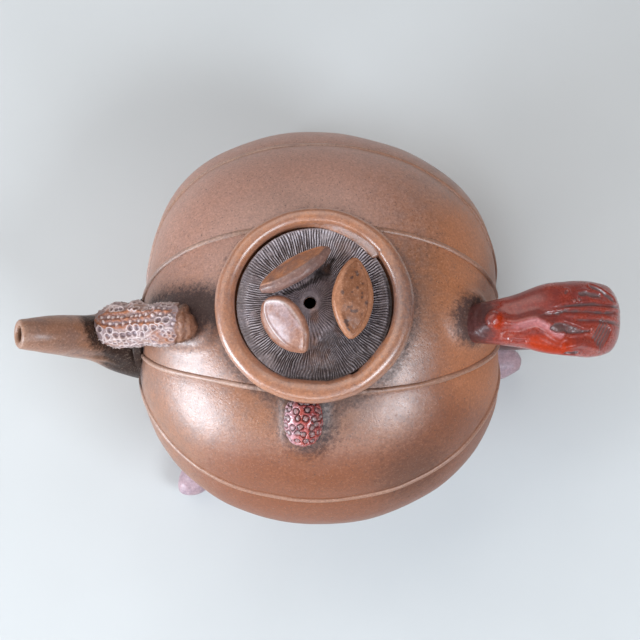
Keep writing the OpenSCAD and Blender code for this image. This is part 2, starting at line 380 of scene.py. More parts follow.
class Shader:
    """Adds nodes to one material."""

    def __init__(self, name):
        self.material = bpy.data.materials.new(name)
        self.material.use_nodes = True
        self.tree = self.material.node_tree
        self.tree.nodes.clear()
        metres = self.add("TexCoord", out=3)
        self.at = self.add("VectorMath", {0: metres, "Scale": 1 / MM}, operation="SCALE")

    def add(self, kind, inputs=None, out=0, **settings):
        node = self.tree.nodes.new("ShaderNode" + kind)
        for key, value in settings.items():
            setattr(node, key, value)
        for key, value in (inputs or {}).items():
            if isinstance(value, bpy.types.NodeSocket):
                self.tree.links.new(value, node.inputs[key])
            else:
                node.inputs[key].default_value = value
        return node.outputs[out] if len(node.outputs) else None

    def noise(self, scale, detail=3.0, rough=0.55, distortion=0.0):
        return self.add("TexNoise", {"Vector": self.at, "Scale": scale, "Detail": detail,
                                     "Roughness": rough, "Distortion": distortion})

    def cells(self, scale):
        return self.add("TexVoronoi", {"Vector": self.at, "Scale": scale})

    def remap(self, value, low, high, to_low=0.0, to_high=1.0):
        return self.add("MapRange", {"Value": value, "From Min": low, "From Max": high,
                                     "To Min": to_low, "To Max": to_high})

    def times(self, a, b):
        return self.add("Math", {0: a, 1: b}, operation="MULTIPLY")

    def plus(self, a, b):
        return self.add("Math", {0: a, 1: b}, operation="ADD")

    def mark(self, name):
        return self.add("Attribute", out=2, attribute_name=name)

    def mix(self, factor, a, b, blend="MIX"):
        return self.add("Mix", {0: factor, 6: a, 7: b}, out=2, data_type="RGBA", blend_type=blend)


def clay(name, main, warm, cool, rough=(0.42, 0.6), grain=1.0, specks=0.5, marks=(), marked_rough=0.0,
         coat=0.0, specular=0.5, patch_scale=0.045, pale_grain=0.22, dulled=None):
    """Unglazed clay. marks are (attribute, tone, strength, how broken up it is), tones go from 0 to 255.

    dulled gives, for some of the marks, how much of the shine they take away.
    """
    main, warm, cool = (srgb(*tone) for tone in (main, warm, cool))
    s = Shader(name)
    patches = s.noise(patch_scale, 3.0)
    mottle = s.noise(0.24, 5.0, 0.62)
    fine = s.noise(1.5, 4.0, 0.7)
    colour = s.mix(s.remap(patches, 0.38, 0.62), main, warm)
    colour = s.mix(s.remap(mottle, 0.44, 0.68, 0.0, 0.75), colour, cool)
    rough_value = s.plus(s.remap(mottle, 0.3, 0.7, rough[0], rough[1]), s.remap(fine, 0.3, 0.7, -0.05, 0.05))
    dark = srgb(52, 40, 38)
    pale = srgb(214, 190, 172)
    broken = s.noise(0.9, 5.0, 0.75)
    shine = 1.0
    for attribute, tone, strength, breakup in marks:
        value = s.mark(attribute)
        if breakup:
            value = s.remap(s.plus(value, s.remap(broken, 0.3, 0.7, -breakup, breakup)), 0.16, 0.84)
        colour = s.mix(s.times(value, strength), colour, srgb(*tone))
        if marked_rough:
            rough_value = s.plus(rough_value, s.times(value, marked_rough))
        if dulled and attribute in dulled:
            shine = s.times(shine, s.remap(value, 0, 1, 1, 1 - dulled[attribute]))
    colour = s.mix(s.remap(fine, 0.36, 0.64, 0.30, 0.0), colour, dark, "MULTIPLY")
    colour = s.mix(s.remap(fine, 0.56, 0.72, 0.0, pale_grain), colour, pale)
    some = s.remap(s.noise(0.7, 2.0), 0.45, 0.6)
    dots = s.remap(s.cells(1.15), 0.14, 0.26, 1.0, 0.0)
    colour = s.mix(s.times(s.times(dots, some), specks), colour, dark)
    few = s.remap(s.noise(0.55, 2.0, 0.5, 0.3), 0.52, 0.62)
    grains = s.remap(s.cells(1.6), 0.10, 0.2, 1.0, 0.0)
    colour = s.mix(s.times(s.times(grains, few), specks * 0.45), colour, pale)
    height = s.plus(s.times(fine, 0.6), s.times(mottle, 0.9))
    height = s.plus(height, s.times(dots, -0.12))
    normal = s.add("Bump", {"Height": height, "Strength": 0.75, "Distance": 0.00016 * grain})
    surface = s.add("BsdfPrincipled", {"Base Color": colour, "Roughness": rough_value, "Normal": normal,
                                       "Specular IOR Level": s.times(shine, specular) if dulled else specular,
                                       "Coat Weight": s.times(shine, coat) if dulled else coat,
                                       "Coat Roughness": 0.22})
    s.add("OutputMaterial", {"Surface": surface})
    return s.material


# Body marks in order: a pale painted sheen on the top and back, painted shade in darker orange at the front
# and underside, painted light on the right flank, painted shade at the lower right, and a dark mark that is
# stain round the joints and painted shade under the lid's edge and under the spout's root.
body_clay = clay("body_clay", (158, 101, 68), (160, 106, 77), (132, 92, 74), (0.31, 0.42), specular=0.95,
                 specks=0.7, pale_grain=0.1, marked_rough=0.1, coat=0.12,
                 dulled={"stain": 0.7, "shade": 0.4, "warm": 0.1},
                 marks=(("bloom", (198, 150, 134), 0.66, 0.3), ("warm", (132, 66, 22), 0.92, 0.25),
                        ("glow", (188, 114, 68), 0.75, 0.3), ("shade", (92, 62, 50), 0.6, 0.3),
                        ("stain", (57, 50, 54), 0.85, 0.35)))
# The ribs' pale tone is part wear and part painted highlight; a mark turns them to the body's tone to the
# right and at the front, and the dark mark is stain with painted shade as on the body.
rib_clay = clay("rib_clay", (188, 150, 132), (176, 134, 112), (162, 126, 114), (0.34, 0.46), specular=0.85,
                marks=(("plain", (158, 106, 78), 0.8, 0.3), ("stain", (44, 33, 30), 0.9, 0.3)),
                dulled={"stain": 0.7})
# On the rim: a pale painted highlight on the broad inner slope, and a dark mark of painted shade on the inner
# wall, under the outer edge and on the sides.
rim_clay = clay("rim_clay", (182, 117, 78), (176, 115, 83), (154, 103, 80), (0.32, 0.42),
                specks=0.5, pale_grain=0.12, grain=0.7, specular=1.0, coat=0.65,
                marks=(("pale", (200, 176, 170), 0.8, 0.35), ("stain", (84, 66, 66), 0.85, 0.2)))
# On the spout: a dark mark of painted shade and a pale painted highlight.
spout_clay = clay("spout_clay", (156, 111, 88), (160, 108, 74), (132, 100, 88), (0.32, 0.45),
                  coat=0.2, marked_rough=0.1, dulled={"stain": 0.7},
                  marks=(("stain", (40, 27, 23), 0.94, 0.3), ("pale", (176, 134, 108), 0.7, 0.0)))
# On the handle and knob: painted shade behind the fold and on the knob's left, painted light in orange on the
# belly and the knob's right, a painted highlight along the fold, grey dust in the grooves, and a dark mark
# that is stain at the upper root and painted shade on the lower limb.
red_clay = clay("red_clay", (146, 52, 40), (160, 58, 38), (122, 52, 50), (0.24, 0.34), grain=0.4,
                specks=0.12, coat=0.5, marked_rough=0.14, pale_grain=0.06,
                dulled={"bright": 0.75, "stain": 0.4},
                marks=(("dull", (128, 58, 52), 0.6, 0.2), ("bright", (178, 52, 14), 0.9, 0.1),
                       ("sheen", (212, 140, 142), 0.46, 0.2), ("dust", (112, 90, 88), 0.85, 0.1),
                       ("stain", (78, 52, 52), 0.85, 0.3)))
# On the mulberry: a pale painted highlight on the left side, grey drupelets, and painted shade underneath and
# in the rings between them.
mulberry_clay = clay("mulberry_clay", (170, 72, 68), (180, 74, 60), (134, 66, 74), (0.2, 0.32),
                     grain=0.5, specks=0.1, coat=0.6, marked_rough=0.1, patch_scale=0.2, pale_grain=0.1,
                     marks=(("wash", (214, 172, 180), 0.62, 0.35), ("cell", (144, 126, 124), 0.8, 0.15),
                            ("stain", (52, 34, 38), 0.8, 0.1)))
# The peanut's last mark is painted shade, underneath and on the back of the cap.
peanut_clay = clay("peanut_clay", (177, 150, 150), (175, 138, 124), (148, 127, 130), (0.40, 0.54),
                   grain=0.8, specks=0.2, patch_scale=0.15,
                   marks=(("brown", (166, 98, 58), 0.95, 0.12), ("light", (220, 200, 196), 0.75, 0.15),
                          ("deep", (110, 98, 110), 0.85, 0.0), ("cap", (140, 90, 60), 0.85, 0.3),
                          ("stain", (72, 54, 46), 0.8, 0.25)))
# On the gills: a pale painted highlight on the fin crests, painted shade between the fins, round the vent and
# toward the front right, and darker painted shade in the channel by the rim and as the back seed's shadow.
gill_clay = clay("gill_clay", (186, 170, 174), (164, 148, 148), (144, 128, 126), (0.5, 0.7),
                 grain=0.7, specks=0.25, specular=0.4, patch_scale=0.1,
                 marks=(("crest", (220, 208, 212), 0.8, 0.3), ("plate", (130, 112, 114), 0.8, 0.2),
                        ("gap", (60, 50, 52), 0.85, 0.25), ("moat", (50, 38, 36), 0.92, 0.15),
                        ("brown", (150, 106, 84), 0.65, 0.3)))
# The feet's dark mark is painted shade.
pink_clay = clay("pink_clay", (190, 160, 168), (180, 146, 150), (158, 138, 150), (0.35, 0.5),
                 grain=0.6, specks=0.25, marks=(("dark", (112, 84, 84), 0.8, 0.2),))


def seed_clay(name, face, edge, rough):
    return clay(name, face, face, edge, rough, grain=0.6, specks=0.25, patch_scale=0.12,
                marks=(("edge", edge, 0.85, 0.1), ("line", (232, 216, 212), 0.85, 0.0),
                       ("spot", (70, 52, 52), 0.75, 0.25)))


# ---------------------------------------------------------------- the melon

_, collar_high = box_mm("mouth_collar")
disc_low, disc_high = box_mm("base_disc")
_, melon_high = box_mm("melon_body")
# Half sizes and middle height of the even melon, before its poles are dimpled and it is cut for the disc
HALF_LEN = melon_high[0] + 2.25
HALF_WIDTH = melon_high[1]
HALF_HEIGHT = (collar_high[2] - disc_low[2]) / 2 + 1.5
MELON_Z = (collar_high[2] + disc_low[2]) / 2 - 2.1
MELON_CENTRE = np.array([0, 0, MELON_Z])
LOBES = 8
WALL = 3.5
PORT_R = 7.45
# Depth of the dimple at each pole, as a share of the half length
DIMPLE = 4 / 54.5
peanut_at = centre_of("peanut")
mulberry_at = centre_of("mulberry")
spout_at = centre_of("spout")
handle_at = centre_of("handle")
spur_at = centre_of("handle_spur")


def melon(lon, around, inset=0.0, valley=1.8):
    """Points on the melon. lon runs from the spout's pole to the handle's, around from the top."""
    power = 2 / 2.25
    girth = np.sin(lon) ** power
    along = -signed_pow(np.cos(lon), power)
    dimple = 1 - DIMPLE * np.exp(-(girth / 0.22) ** 2)
    fold = 1 - np.abs(np.cos(around * LOBES / 2)) ** 0.7
    lobe = 1 - valley / HALF_WIDTH * fold
    angle = around + math.radians(2.5) * np.sin(around * LOBES / 2)
    if valley:
        degrees = np.degrees(around) % 360
        tilt = np.degrees(lon)
        angle = angle + math.radians(2.2) * bump(degrees, 337.5, 17) * bump(tilt, 58, 22)
        angle = angle - math.radians(2.4) * bump(degrees, 292.5, 17) * bump(tilt, 90, 50)
    return np.stack([along * dimple * (HALF_LEN - inset),
                     girth * lobe * (HALF_WIDTH - inset) * np.sin(angle),
                     MELON_Z + girth * lobe * (HALF_HEIGHT - inset) * np.cos(angle)], -1)


# Where another piece sits on the body: a path, its radius, and how high and how wide clay is drawn up to it
SEATS = [
    ([peanut_at + [-3, 0, 0], peanut_at + [6, 0, 3.2], peanut_at + [12.5, -0.5, 6.4]], 6.6, 1.3, 2.2),
    ([mulberry_at + [0, 4, 0.5], mulberry_at + [0, -5, -2.2]], 5.0, 0.8, 2.0),
    ([handle_at + [-22, 0.5, 20.5], handle_at + [-15, 0.5, 25.5]], 5.6, 2.0, 2.6),
    ([handle_at + [-20, -0.6, -22.5], handle_at + [-13, -0.6, -26.5]], 5.2, 1.8, 2.4)]

# Where the body bulges or is pressed in: a place, how far it spreads and how much
BODY_SWELLS = [([-51, 18, 56], 16, -2.2), ([-36, 43, 53], 17, 1.1), ([-2, 57, 54], 15, 0.9),
               ([45, 34, 53], 14, 1.0), ([50, -30, 50], 20, 1.1), ([27, -54, 50], 14, -0.4),
               ([20, 54, 52], 14, -0.7)]


def swell(p):
    """How far the hand-built body stands off the even melon shape."""
    shape = 0.42 * layered(p / 26, 2, 3) + 0.08 * noise(p / 7, 9)
    for place_mm, reach, rise in BODY_SWELLS:
        shape = shape + rise * np.exp(-((p - place_mm) ** 2).sum(-1) / reach ** 2)
    for path, radius, height, spread in SEATS:
        beyond = np.maximum(distance(p, path) - radius, 0)
        shape = shape + height * np.exp(-(beyond / spread) ** 2)
    return shape - 0.25


def body_skin(lon, around):
    """Points on the outside of the hand-built body."""
    p = melon(lon, around)
    out = unit((p - MELON_CENTRE) / [HALF_LEN, HALF_WIDTH, HALF_HEIGHT])
    p = p + out * swell(p)[..., None]
    p[..., 1] = np.clip(p[..., 1], -HALF_WIDTH + 0.02, HALF_WIDTH - 0.02)
    return p


# Where the clay is stained or painted with shade: a path, how strongly, and where the mark starts and stops
# fading beside it. Stain at the handle's upper root, painted shade under its lower root and under the spout's
# root.
STAINS = [
    ([handle_at + [-22, 0, 20], handle_at + [-14, -1, 30]], 0.9, 5.0, 10.5),
    ([handle_at + [-22, 0, -22], handle_at + [-14, 0, -26]], 0.8, 5, 11),
    ([spout_at + [14, 0, -12], spout_at + [8, -1, -10]], 0.85, 13, 18)]


def stain_at(p):
    """Dark stain in the clay round the fruits and the handle's upper root, with painted shade under the lid's
    edge, the handle's lower root and the spout's root.
    """
    back = smooth(-9, 4, p[..., 1] - peanut_at[1])
    d = distance(p, [peanut_at + [-14, 0, -4.5], peanut_at + [-2, 0, -2], peanut_at + [15, -0.5, 7]])
    by_peanut = (0.35 + 0.65 * back) * (1 - smooth(6.5, 13.5 + 3 * back, d))
    right = smooth(-6, 6, p[..., 0] - mulberry_at[0])
    d = distance(p, [mulberry_at + [0, 8, 1], mulberry_at + [0, -1.5, -2]])
    by_mulberry = (0.55 + 0.25 * right) * (1 - smooth(4.5, 12 + 2.5 * right, d))
    radius = np.hypot(p[..., 0], p[..., 1])
    # Painted shade under the lid's overhanging edge.
    by_lid = 0.55 * smooth(70, 80, p[..., 2]) * (1 - smooth(27.5, 31.5, radius))
    others = (strength * (1 - smooth(start, stop, distance(p, path)))
              for path, strength, start, stop in STAINS)
    return most(by_peanut, by_mulberry, by_lid, *others)


def make_body():
    def grid(rings, count):
        return np.meshgrid(math.pi * np.arange(1, rings) / rings, -turns(count), indexing="ij")

    body = grid_piece("body_shell", body_skin(*grid(240, 384)))
    inside = melon(*grid(72, 96), WALL, 0.0)
    inside = inside + unit(inside - MELON_CENTRE) * (0.3 * layered(inside / 14, 2, 21))[..., None]
    port = centre_of("spout_strainer")
    cutters = [
        grid_piece("cut_inside", inside),
        cylinder_cutter("cut_mouth", collar_high[0] - 1.15, [0, 0, MELON_Z], [0, 0, 100]),
        cylinder_cutter("cut_base", disc_high[0] - 0.05, [0, 0, -1], [0, 0, 29]),
        cylinder_cutter("cut_port", PORT_R, port + [-15, 0, 0], port + [15, 0, 0], 96)]
    cut(body, cutters)
    points = np.empty(len(body.data.vertices) * 3, np.float32)
    body.data.vertices.foreach_get("co", points)
    points = points.reshape(-1, 3).astype(float) / MM
    x, y = points[:, 0], points[:, 1]
    # Painted shade makes the front and right flank darker and more orange, a painted sheen makes the top and
    # back paler, painted light brightens the right flank, and painted shade darkens the lower right.
    front = clamp(smooth(-26, -46, y) + smooth(18, 44, x) * smooth(8, -20, y))
    bloom = smooth(-14, 30, y - 0.25 * x) * (1 - 0.7 * smooth(-6, 46, x)) * (1 - 0.35 * smooth(-20, -50, x))
    set_marks(body.data, {"stain": stain_at(points), "bloom": bloom,
                          "glow": smooth(26, 44, x) * smooth(-34, -16, y) * smooth(44, 24, y),
                          "shade": bump(gap_to(points, [27, -45, 68]), 0, 13),
                          "warm": front * (1 - 0.6 * smooth(20, 45, -x))})
    place(body, body_clay, "pot", "sandy_clay", "melon_body")


def make_rib(number):
    """A thin strip of clay along one valley of the body."""
    around = TAU / LOBES * (number - 0.5)
    steps = 260
    lon = np.radians(np.linspace(9, 171, steps))
    left, centre, right = (body_skin(lon, np.full_like(lon, around + aside)) for aside in (-0.02, 0, 0.02))
    out = unit((left + right) / 2 - centre + unit(centre - MELON_CENTRE) * 0.6)
    travel = unit(np.gradient(centre, axis=0))
    across = unit(np.cross(travel, out))
    out = unit(np.cross(across, travel))
    from_end = np.minimum(np.arange(steps), np.arange(steps)[::-1])
    taper = np.minimum(1, from_end / 14 + 0.25)
    width = (0.86 + 0.12 * noise(centre / 6, 40 + number)) * taper
    height = (0.72 + 0.10 * noise(centre / 9, 60 + number)) * taper
    turn = turns(14)
    cos, sin = signed_pow(np.cos(turn), 0.85), signed_pow(np.sin(turn), 1.1)
    p = (centre[:, None] + across[:, None] * (width[:, None] * cos)[..., None]
         + out[:, None] * (height[:, None] * sin)[..., None])
    # Where the painted highlight on the rib gives way to the body's tone.
    plain = np.maximum(smooth(-8, 34, p[..., 0]), smooth(-30, -44, p[..., 1]))
    add_piece(f"rib_line_{number}", p, rib_clay, "rib_clay", f"rib_{number}",
              stain=0.8 * stain_at(p), plain=plain)


# ---------------------------------------------------------------- spout, handle and feet

def make_spout():
    sections = [
        [15.8, 0.2, -11.9, 13.2, 15.4], [13.3, 0.2, -11.9, 12.2, 13.8], [9.3, 0.0, -9.4, 11.0, 11.6],
        [5.7, -0.4, -4.9, 9.3, 9.6], [2.3, -0.9, 0.3, 7.6, 8.0], [-1.7, -1.7, 8.1, 6.6, 6.8],
        [-6.3, -2.0, 15.1, 6.0, 6.0], [-11.5, -2.4, 20.3, 5.2, 5.2], [-16.6, -2.7, 22.9, 4.5, 4.45]]
    bores = [7.3, 7.0, 6.4, 5.7, 5.0, 4.2, 3.6, 2.9, 2.3]
    count = 112
    outside, _ = sweep(sections, [0, 1, 0], 150, count, at=spout_at)
    channel = [[*section[:3], bore, bore] for section, bore in zip(sections, bores)]
    inside, _ = sweep(channel, [0, 1, 0], 60, count, at=spout_at)
    n = normals(outside)
    crease = spout_at + np.array([[-4, -6.3, 13.5], [0, -7.2, 7.5], [4.2, -8.6, 1.5], [8.5, -10.6, -3.5]])
    d, along = path_distance(outside, crease)
    ridge = bump(d, 0, 0.9) * between(along, 0, 0.15, 0.8, 1)
    uneven = 0.28 * layered(outside / 11, 2, 5) + 0.05 * noise(outside / 2.6, 8)
    outside = outside + n * (0.45 * ridge - 0.3 * bump(d, 2.0, 1.2) + uneven)[..., None]
    # A rounded lip joins the outside to the bore
    tip_out, tip_in = outside[-1], inside[-1]
    forward = unit(outside[-1].mean(axis=0) - outside[-6].mean(axis=0))
    lip = []
    for a in np.radians(range(30, 151, 30)):
        share = (1 - math.cos(a)) / 2
        lip.append(tip_out * (1 - share) + tip_in * share + forward * 0.95 * math.sin(a))
    p = fit_inside(np.concatenate([outside, np.stack(lip), inside[::-1]]), "spout")
    # Painted shade beside the peanut, toward the root and inside the bore; a pale painted highlight along the
    # crease, and a paler lip.
    d = distance(p, [peanut_at + [-13, 0, -5], peanut_at + [0, 0, -2], peanut_at + [8, 0, 3]])
    stain = 0.8 * (1 - smooth(5.2, 9.5, d))
    stain = np.maximum(stain, 0.97 * smooth(-2.5, 9.0, p[..., 0] - spout_at[0]))
    stain[-len(inside):] = 0.6
    pale = np.zeros(p.shape[:2])
    pale[:len(outside)] = ridge
    lip_rows = slice(len(outside) - 5, len(outside) + 7)
    pale[lip_rows] = np.maximum(pale[lip_rows], 0.5)
    add_piece("spout_tube", p, spout_clay, "spout_clay", "spout", wrap_u=True, stain=stain, pale=pale)


# Lines on the upper side of the handle, in millimetres from its centre
HANDLE_LINES = {
    "grooves": [
        [[0.6, 1.1, 32.6], [3.6, 1.8, 31.9], [6.8, 2.7, 30.7], [10.9, 3.3, 28.7], [14.8, 3.6, 25.7],
         [19.6, 3.8, 19.9], [21.9, 3.8, 14.9], [23.0, 3.7, 9.5]],
        [[-4.6, -0.4, 32.9], [-1.3, -0.1, 32.9], [2.7, 0.2, 32.2], [6.1, 0.9, 31.1], [9.9, 1.3, 29.4],
         [14.0, 1.5, 26.7], [18.1, 1.5, 22.4], [21.0, 1.8, 17.6], [22.9, 1.9, 9.0]],
        [[6.7, -1.9, 30.9], [9.5, -1.3, 29.6], [12.4, -1.0, 28.0], [16.0, -0.9, 24.9],
         [19.4, -0.9, 20.4], [21.3, -1.1, 16.8], [22.9, -1.4, 9.0]]],
    "gouge": [[2.2, -3.7, 32.1], [5.7, -3.6, 31.1], [8.5, -4.0, 29.8], [11.7, -4.3, 27.9],
              [13.6, -4.2, 26.6]],
    "fold": [[-13.5, -4.4, 29.6], [-10.7, -3.4, 31.8], [-7.1, -3.7, 32.4], [-3.8, -2.7, 32.8],
             [-1.9, -2.6, 32.8], [1.1, -3.9, 32.3], [3.6, -5.8, 31.1], [6.7, -6.8, 29.7]],
    "low_fold": [[6.7, -8.7, 28.6], [11.1, -7.6, 27.0], [13.7, -8.2, 24.5], [16.1, -8.5, 21.4]],
    "belly": [[-1.3, -7.1, 31.1], [2.4, -8.5, 29.9], [5.5, -8.7, 29.0]]}


def make_handle():
    sections = [
        [-20.2, -1.4, 21.2, 5.3, 4.9], [-15.0, -1.4, 25.0, 6.0, 5.2], [-6.5, -1.0, 27.2, 7.5, 5.5],
        [2.5, -0.4, 26.4, 10.1, 5.6], [12.4, 0.1, 21.0, 10.9, 5.6], [17.9, 0.9, 14.2, 9.6, 5.4],
        [16.2, 1.6, -2.2, 7.3, 5.1], [11.5, 1.8, -14.7, 5.5, 4.9], [3.0, 1.8, -24.0, 4.7, 4.7],
        [-6.5, 1.8, -28.2, 4.4, 4.7], [-16.0, 1.8, -25.6, 4.4, 4.7]]
    dense = np.concatenate([np.linspace(0, 5.6, 400), np.linspace(5.6, 10, 90)[1:]])
    p, _ = sweep(sections, [0, 1, 0], dense, 200, power=2.35, at=handle_at)
    n = normals(p)
    rel = p - handle_at
    outer = smooth(-0.1, 0.35, (n * unit(p - (handle_at + [-2, 0, 0]))).sum(-1))
    height = 0.25 * layered(p / 12, 2, 7) + 0.06 * noise(p / 3, 11)
    dust = np.zeros(p.shape[:2])
    lines = {key: snap(HANDLE_LINES[key], rel, n) for key in ("gouge", "fold", "low_fold", "belly")}
    for k, path in enumerate(HANDLE_LINES["grooves"]):
        d, along = path_distance(rel, snap(path, rel, n))
        d = d + 0.12 * noise(p / 1.3, 15)
        fade = between(along, 0, 0.25, 0.8, 1)
        height -= outer * 0.7 * fade * (1 - smooth(0.1, 0.62, d))
        height += outer * 0.28 * fade * bump(d, 1.0, 0.4)
        worn = 0.75 + 0.5 * noise(p / 1.6, 16 + k)
        dust = np.maximum(dust, outer * fade * worn * (1 - smooth(0.2, 0.62, d)))
    # A leaf-shaped gouge beside the lowest groove
    d, along = path_distance(rel, lines["gouge"])
    half = 1.3 * smooth(-0.1, 0.12, along) * (1 - 0.8 * smooth(0.4, 1, along)) + 0.1
    inside = 1 - smooth(0.7, 1.1, d / half)
    height -= outer * 0.9 * inside
    height += outer * inside * 0.14 * layered(p / 0.9, 2, 32)
    height += outer * 0.3 * bump(d, half + 0.5, 0.45)
    dust = np.maximum(dust, outer * inside * (0.85 + 0.3 * noise(p / 0.8, 31)))
    # Diagonal strokes near the outer end
    middle = snap([[17.4, -4.7, 21.6]], rel, n)[0]
    offset = rel - middle
    level = snap([[16.1, -7.4, 22.5], [20.5, -1.6, 18.4], [14.8, -2.9, 25.0], [19.6, -6.6, 18.0]], rel, n)
    run = offset @ unit(level[1] - level[0])
    sideways = offset @ unit(level[3] - level[2])
    patch = (1 - smooth(3.0, 3.9, np.abs(run))) * (1 - smooth(2.3, 2.9, np.abs(sideways)))
    patch = patch * (1 - smooth(4.0, 5.5, gap_to(rel, middle)))
    strokes = 0.5 + 0.5 * np.cos(TAU * sideways / 1.25 + 0.9 * noise(p / 2, 33))
    height -= patch * (0.1 + 0.5 * strokes)
    dust = np.maximum(dust, patch * (0.25 + 0.7 * strokes))
    # A long fold that faces the front, with a hollow on either side and a full belly below it
    d, along = path_distance(rel, lines["fold"] + [0, 1.5, 0])
    ends = between(along, 0, 0.15, 0.92, 1)
    height += outer * 1.45 * bump(d, 0, 1.6) * ends
    # A painted highlight along the fold.
    d_fold = distance(rel, lines["fold"] + [0, 0.3, 0]) + 0.25 * noise(p / 1.4, 38)
    sheen = bump(d_fold, 0, 1.1) * between(along, 0.1, 0.4, 0.9, 1)
    d_belly = distance(rel, lines["belly"] + [0, -0.8, 0])
    low_hollow = snap([[8.0, -6.0, 29.3], [11.5, -5.7, 27.4], [14.0, -6.0, 25.0]], rel, n)
    for d, rise, width in ((distance(rel, lines["fold"][:6] + [0, 4.4, 0]), -0.35, 1.8),
                           (distance(rel, lines["fold"][1:] + [0, -1.4, 0]), -0.5, 1.5),
                           (d_belly, 0.2, 2.6),
                           (distance(rel, lines["low_fold"]), 0.8, 1.1),
                           (distance(rel, low_hollow), -0.5, 1.0)):
        height += outer * rise * bump(d, 0, width)
    # Pits along the back edge, a short one at the front, a worn patch and small dots
    pits = [([[14.5, 9.0, 23.3], [16.8, 8.2, 21.2], [18.7, 6.8, 19.6], [20.8, 5.4, 16.6]], 0.85, 0.6, 0.85),
            ([[11.2, 6.5, 27.5], [12.7, 6.8, 26.3], [14.3, 6.5, 25.2], [16.6, 6.4, 22.8]], 0.85, 0.6, 0.9),
            ([[6.8, -10.3, 26.9], [9.6, -10.3, 25.5]], 0.8, 0.8, 0.9),
            ([[6.6, 6.3, 29.5], [6.9, 7.2, 29.1]], 0.35, 0.3, 0.5),
            ([[-8.8, -6.9, 30.1], [-5.2, -7.2, 30.6]], 0.5, 0.25, 0.0)]
    for path, width, depth, grey in pits:
        d = distance(rel, snap(path, rel, n)) + 0.25 * noise(p / 1.5, 17)
        height -= outer * depth * (1 - smooth(0.2, width, d))
        height += outer * 0.18 * bump(d, width + 0.4, 0.4)
        dust = np.maximum(dust, grey * outer * (1 - smooth(0.4, width + 0.1, d)))
    for dot in ([9.2, 4.5, 29.2], [10.7, 4.7, 28.4]):
        d = gap_to(rel, snap([dot], rel, n)[0])
        height += 0.4 * (1 - smooth(0.2, 0.5, d))
        height -= 0.25 * bump(d, 0.75, 0.22)
        dust = np.maximum(dust, 0.7 * (1 - smooth(0.25, 0.5, d)))
    # The clay is drawn up to the knob, and a few long lines run low on the outside
    d = gap_to(p, spur_at)
    height += 0.9 * (1 - smooth(1.6, 4.4, d)) - 0.25 * bump(d, 5.2, 0.9)
    root = 1 - smooth(-17.5, -15, rel[..., 0])
    height += root * 0.3 * layered(p / 3.6, 2, 37)
    lower = 1 - smooth(-14, 2, rel[..., 2])
    combed = np.cos(TAU * (rel[..., 1] + 0.6 * noise(p / 9, 19)) / 3.4)
    height += 0.14 * lower * outer * combed
    dust = np.maximum(dust, 0.5 * lower * outer * smooth(0.75, 1, -combed))
    p = fit_inside(p + n * height[..., None], "handle")
    # Stain round the upper root and painted shade along the lower limb; painted light on the belly and round
    # the knob; painted shade on the top behind the fold.
    top = gap_to(rel, [-19.5, -1, 27])
    low = gap_to(rel, [-17, 0, -25])
    stain = np.maximum(0.95 * (1 - smooth(4.5, 10.5, top)), 0.95 * (1 - smooth(8, 22, low)))
    bright = bump(d_belly, 0, 4.2) * smooth(-4.6, -6.4, rel[..., 1])
    bright = np.maximum(bright, 1 - smooth(2.0, 4.0, gap_to(p, spur_at)))
    dull = 1 - smooth(2.5, 9.5, gap_to(rel, [-4.0, 3.2, 30.5]))
    add_piece("handle_loop", p, red_clay, "red_clay", "handle", dust=clamp(dust), stain=stain,
              bright=bright * outer, dull=dull * outer, sheen=sheen * outer)


def make_spur():
    low, high = box_mm("handle_spur")
    radius = (high - low)[0] / 2
    tilt = np.radians(np.linspace(2, 178, 48))[:, None]
    turn = turns(72)[None, :]
    x, y, z = np.sin(tilt) * np.cos(turn), np.sin(tilt) * np.sin(turn), np.cos(tilt) + 0 * turn
    d = np.stack([x, y, z], -1)
    swell_out = radius * (1 + 0.06 * layered(d * 1.6 + 5, 2, 51) - 0.05 * bump(z, 1.0, 0.1))
    facing = d @ unit(np.array([0.24, -0.26, 0.93]))
    swell_out = np.minimum(swell_out, 0.93 * radius / np.maximum(facing, 0.1))
    p = spur_at + d * swell_out[..., None] * [1.16, 1.2, 0.98]
    # Painted shade under the knob and on its left side, painted light on its right side.
    stain = 0.3 * smooth(0.1, -0.6, z) + 0.25 * smooth(0.0, -0.7, x)
    add_piece("handle_knob", p, red_clay, "red_clay", "handle_spur", dust=0 * z, sheen=0 * z, stain=stain,
              dull=0.7 * smooth(0.2, -0.5, x), bright=0.9 * smooth(0.0, 0.55, x - 0.3 * y))


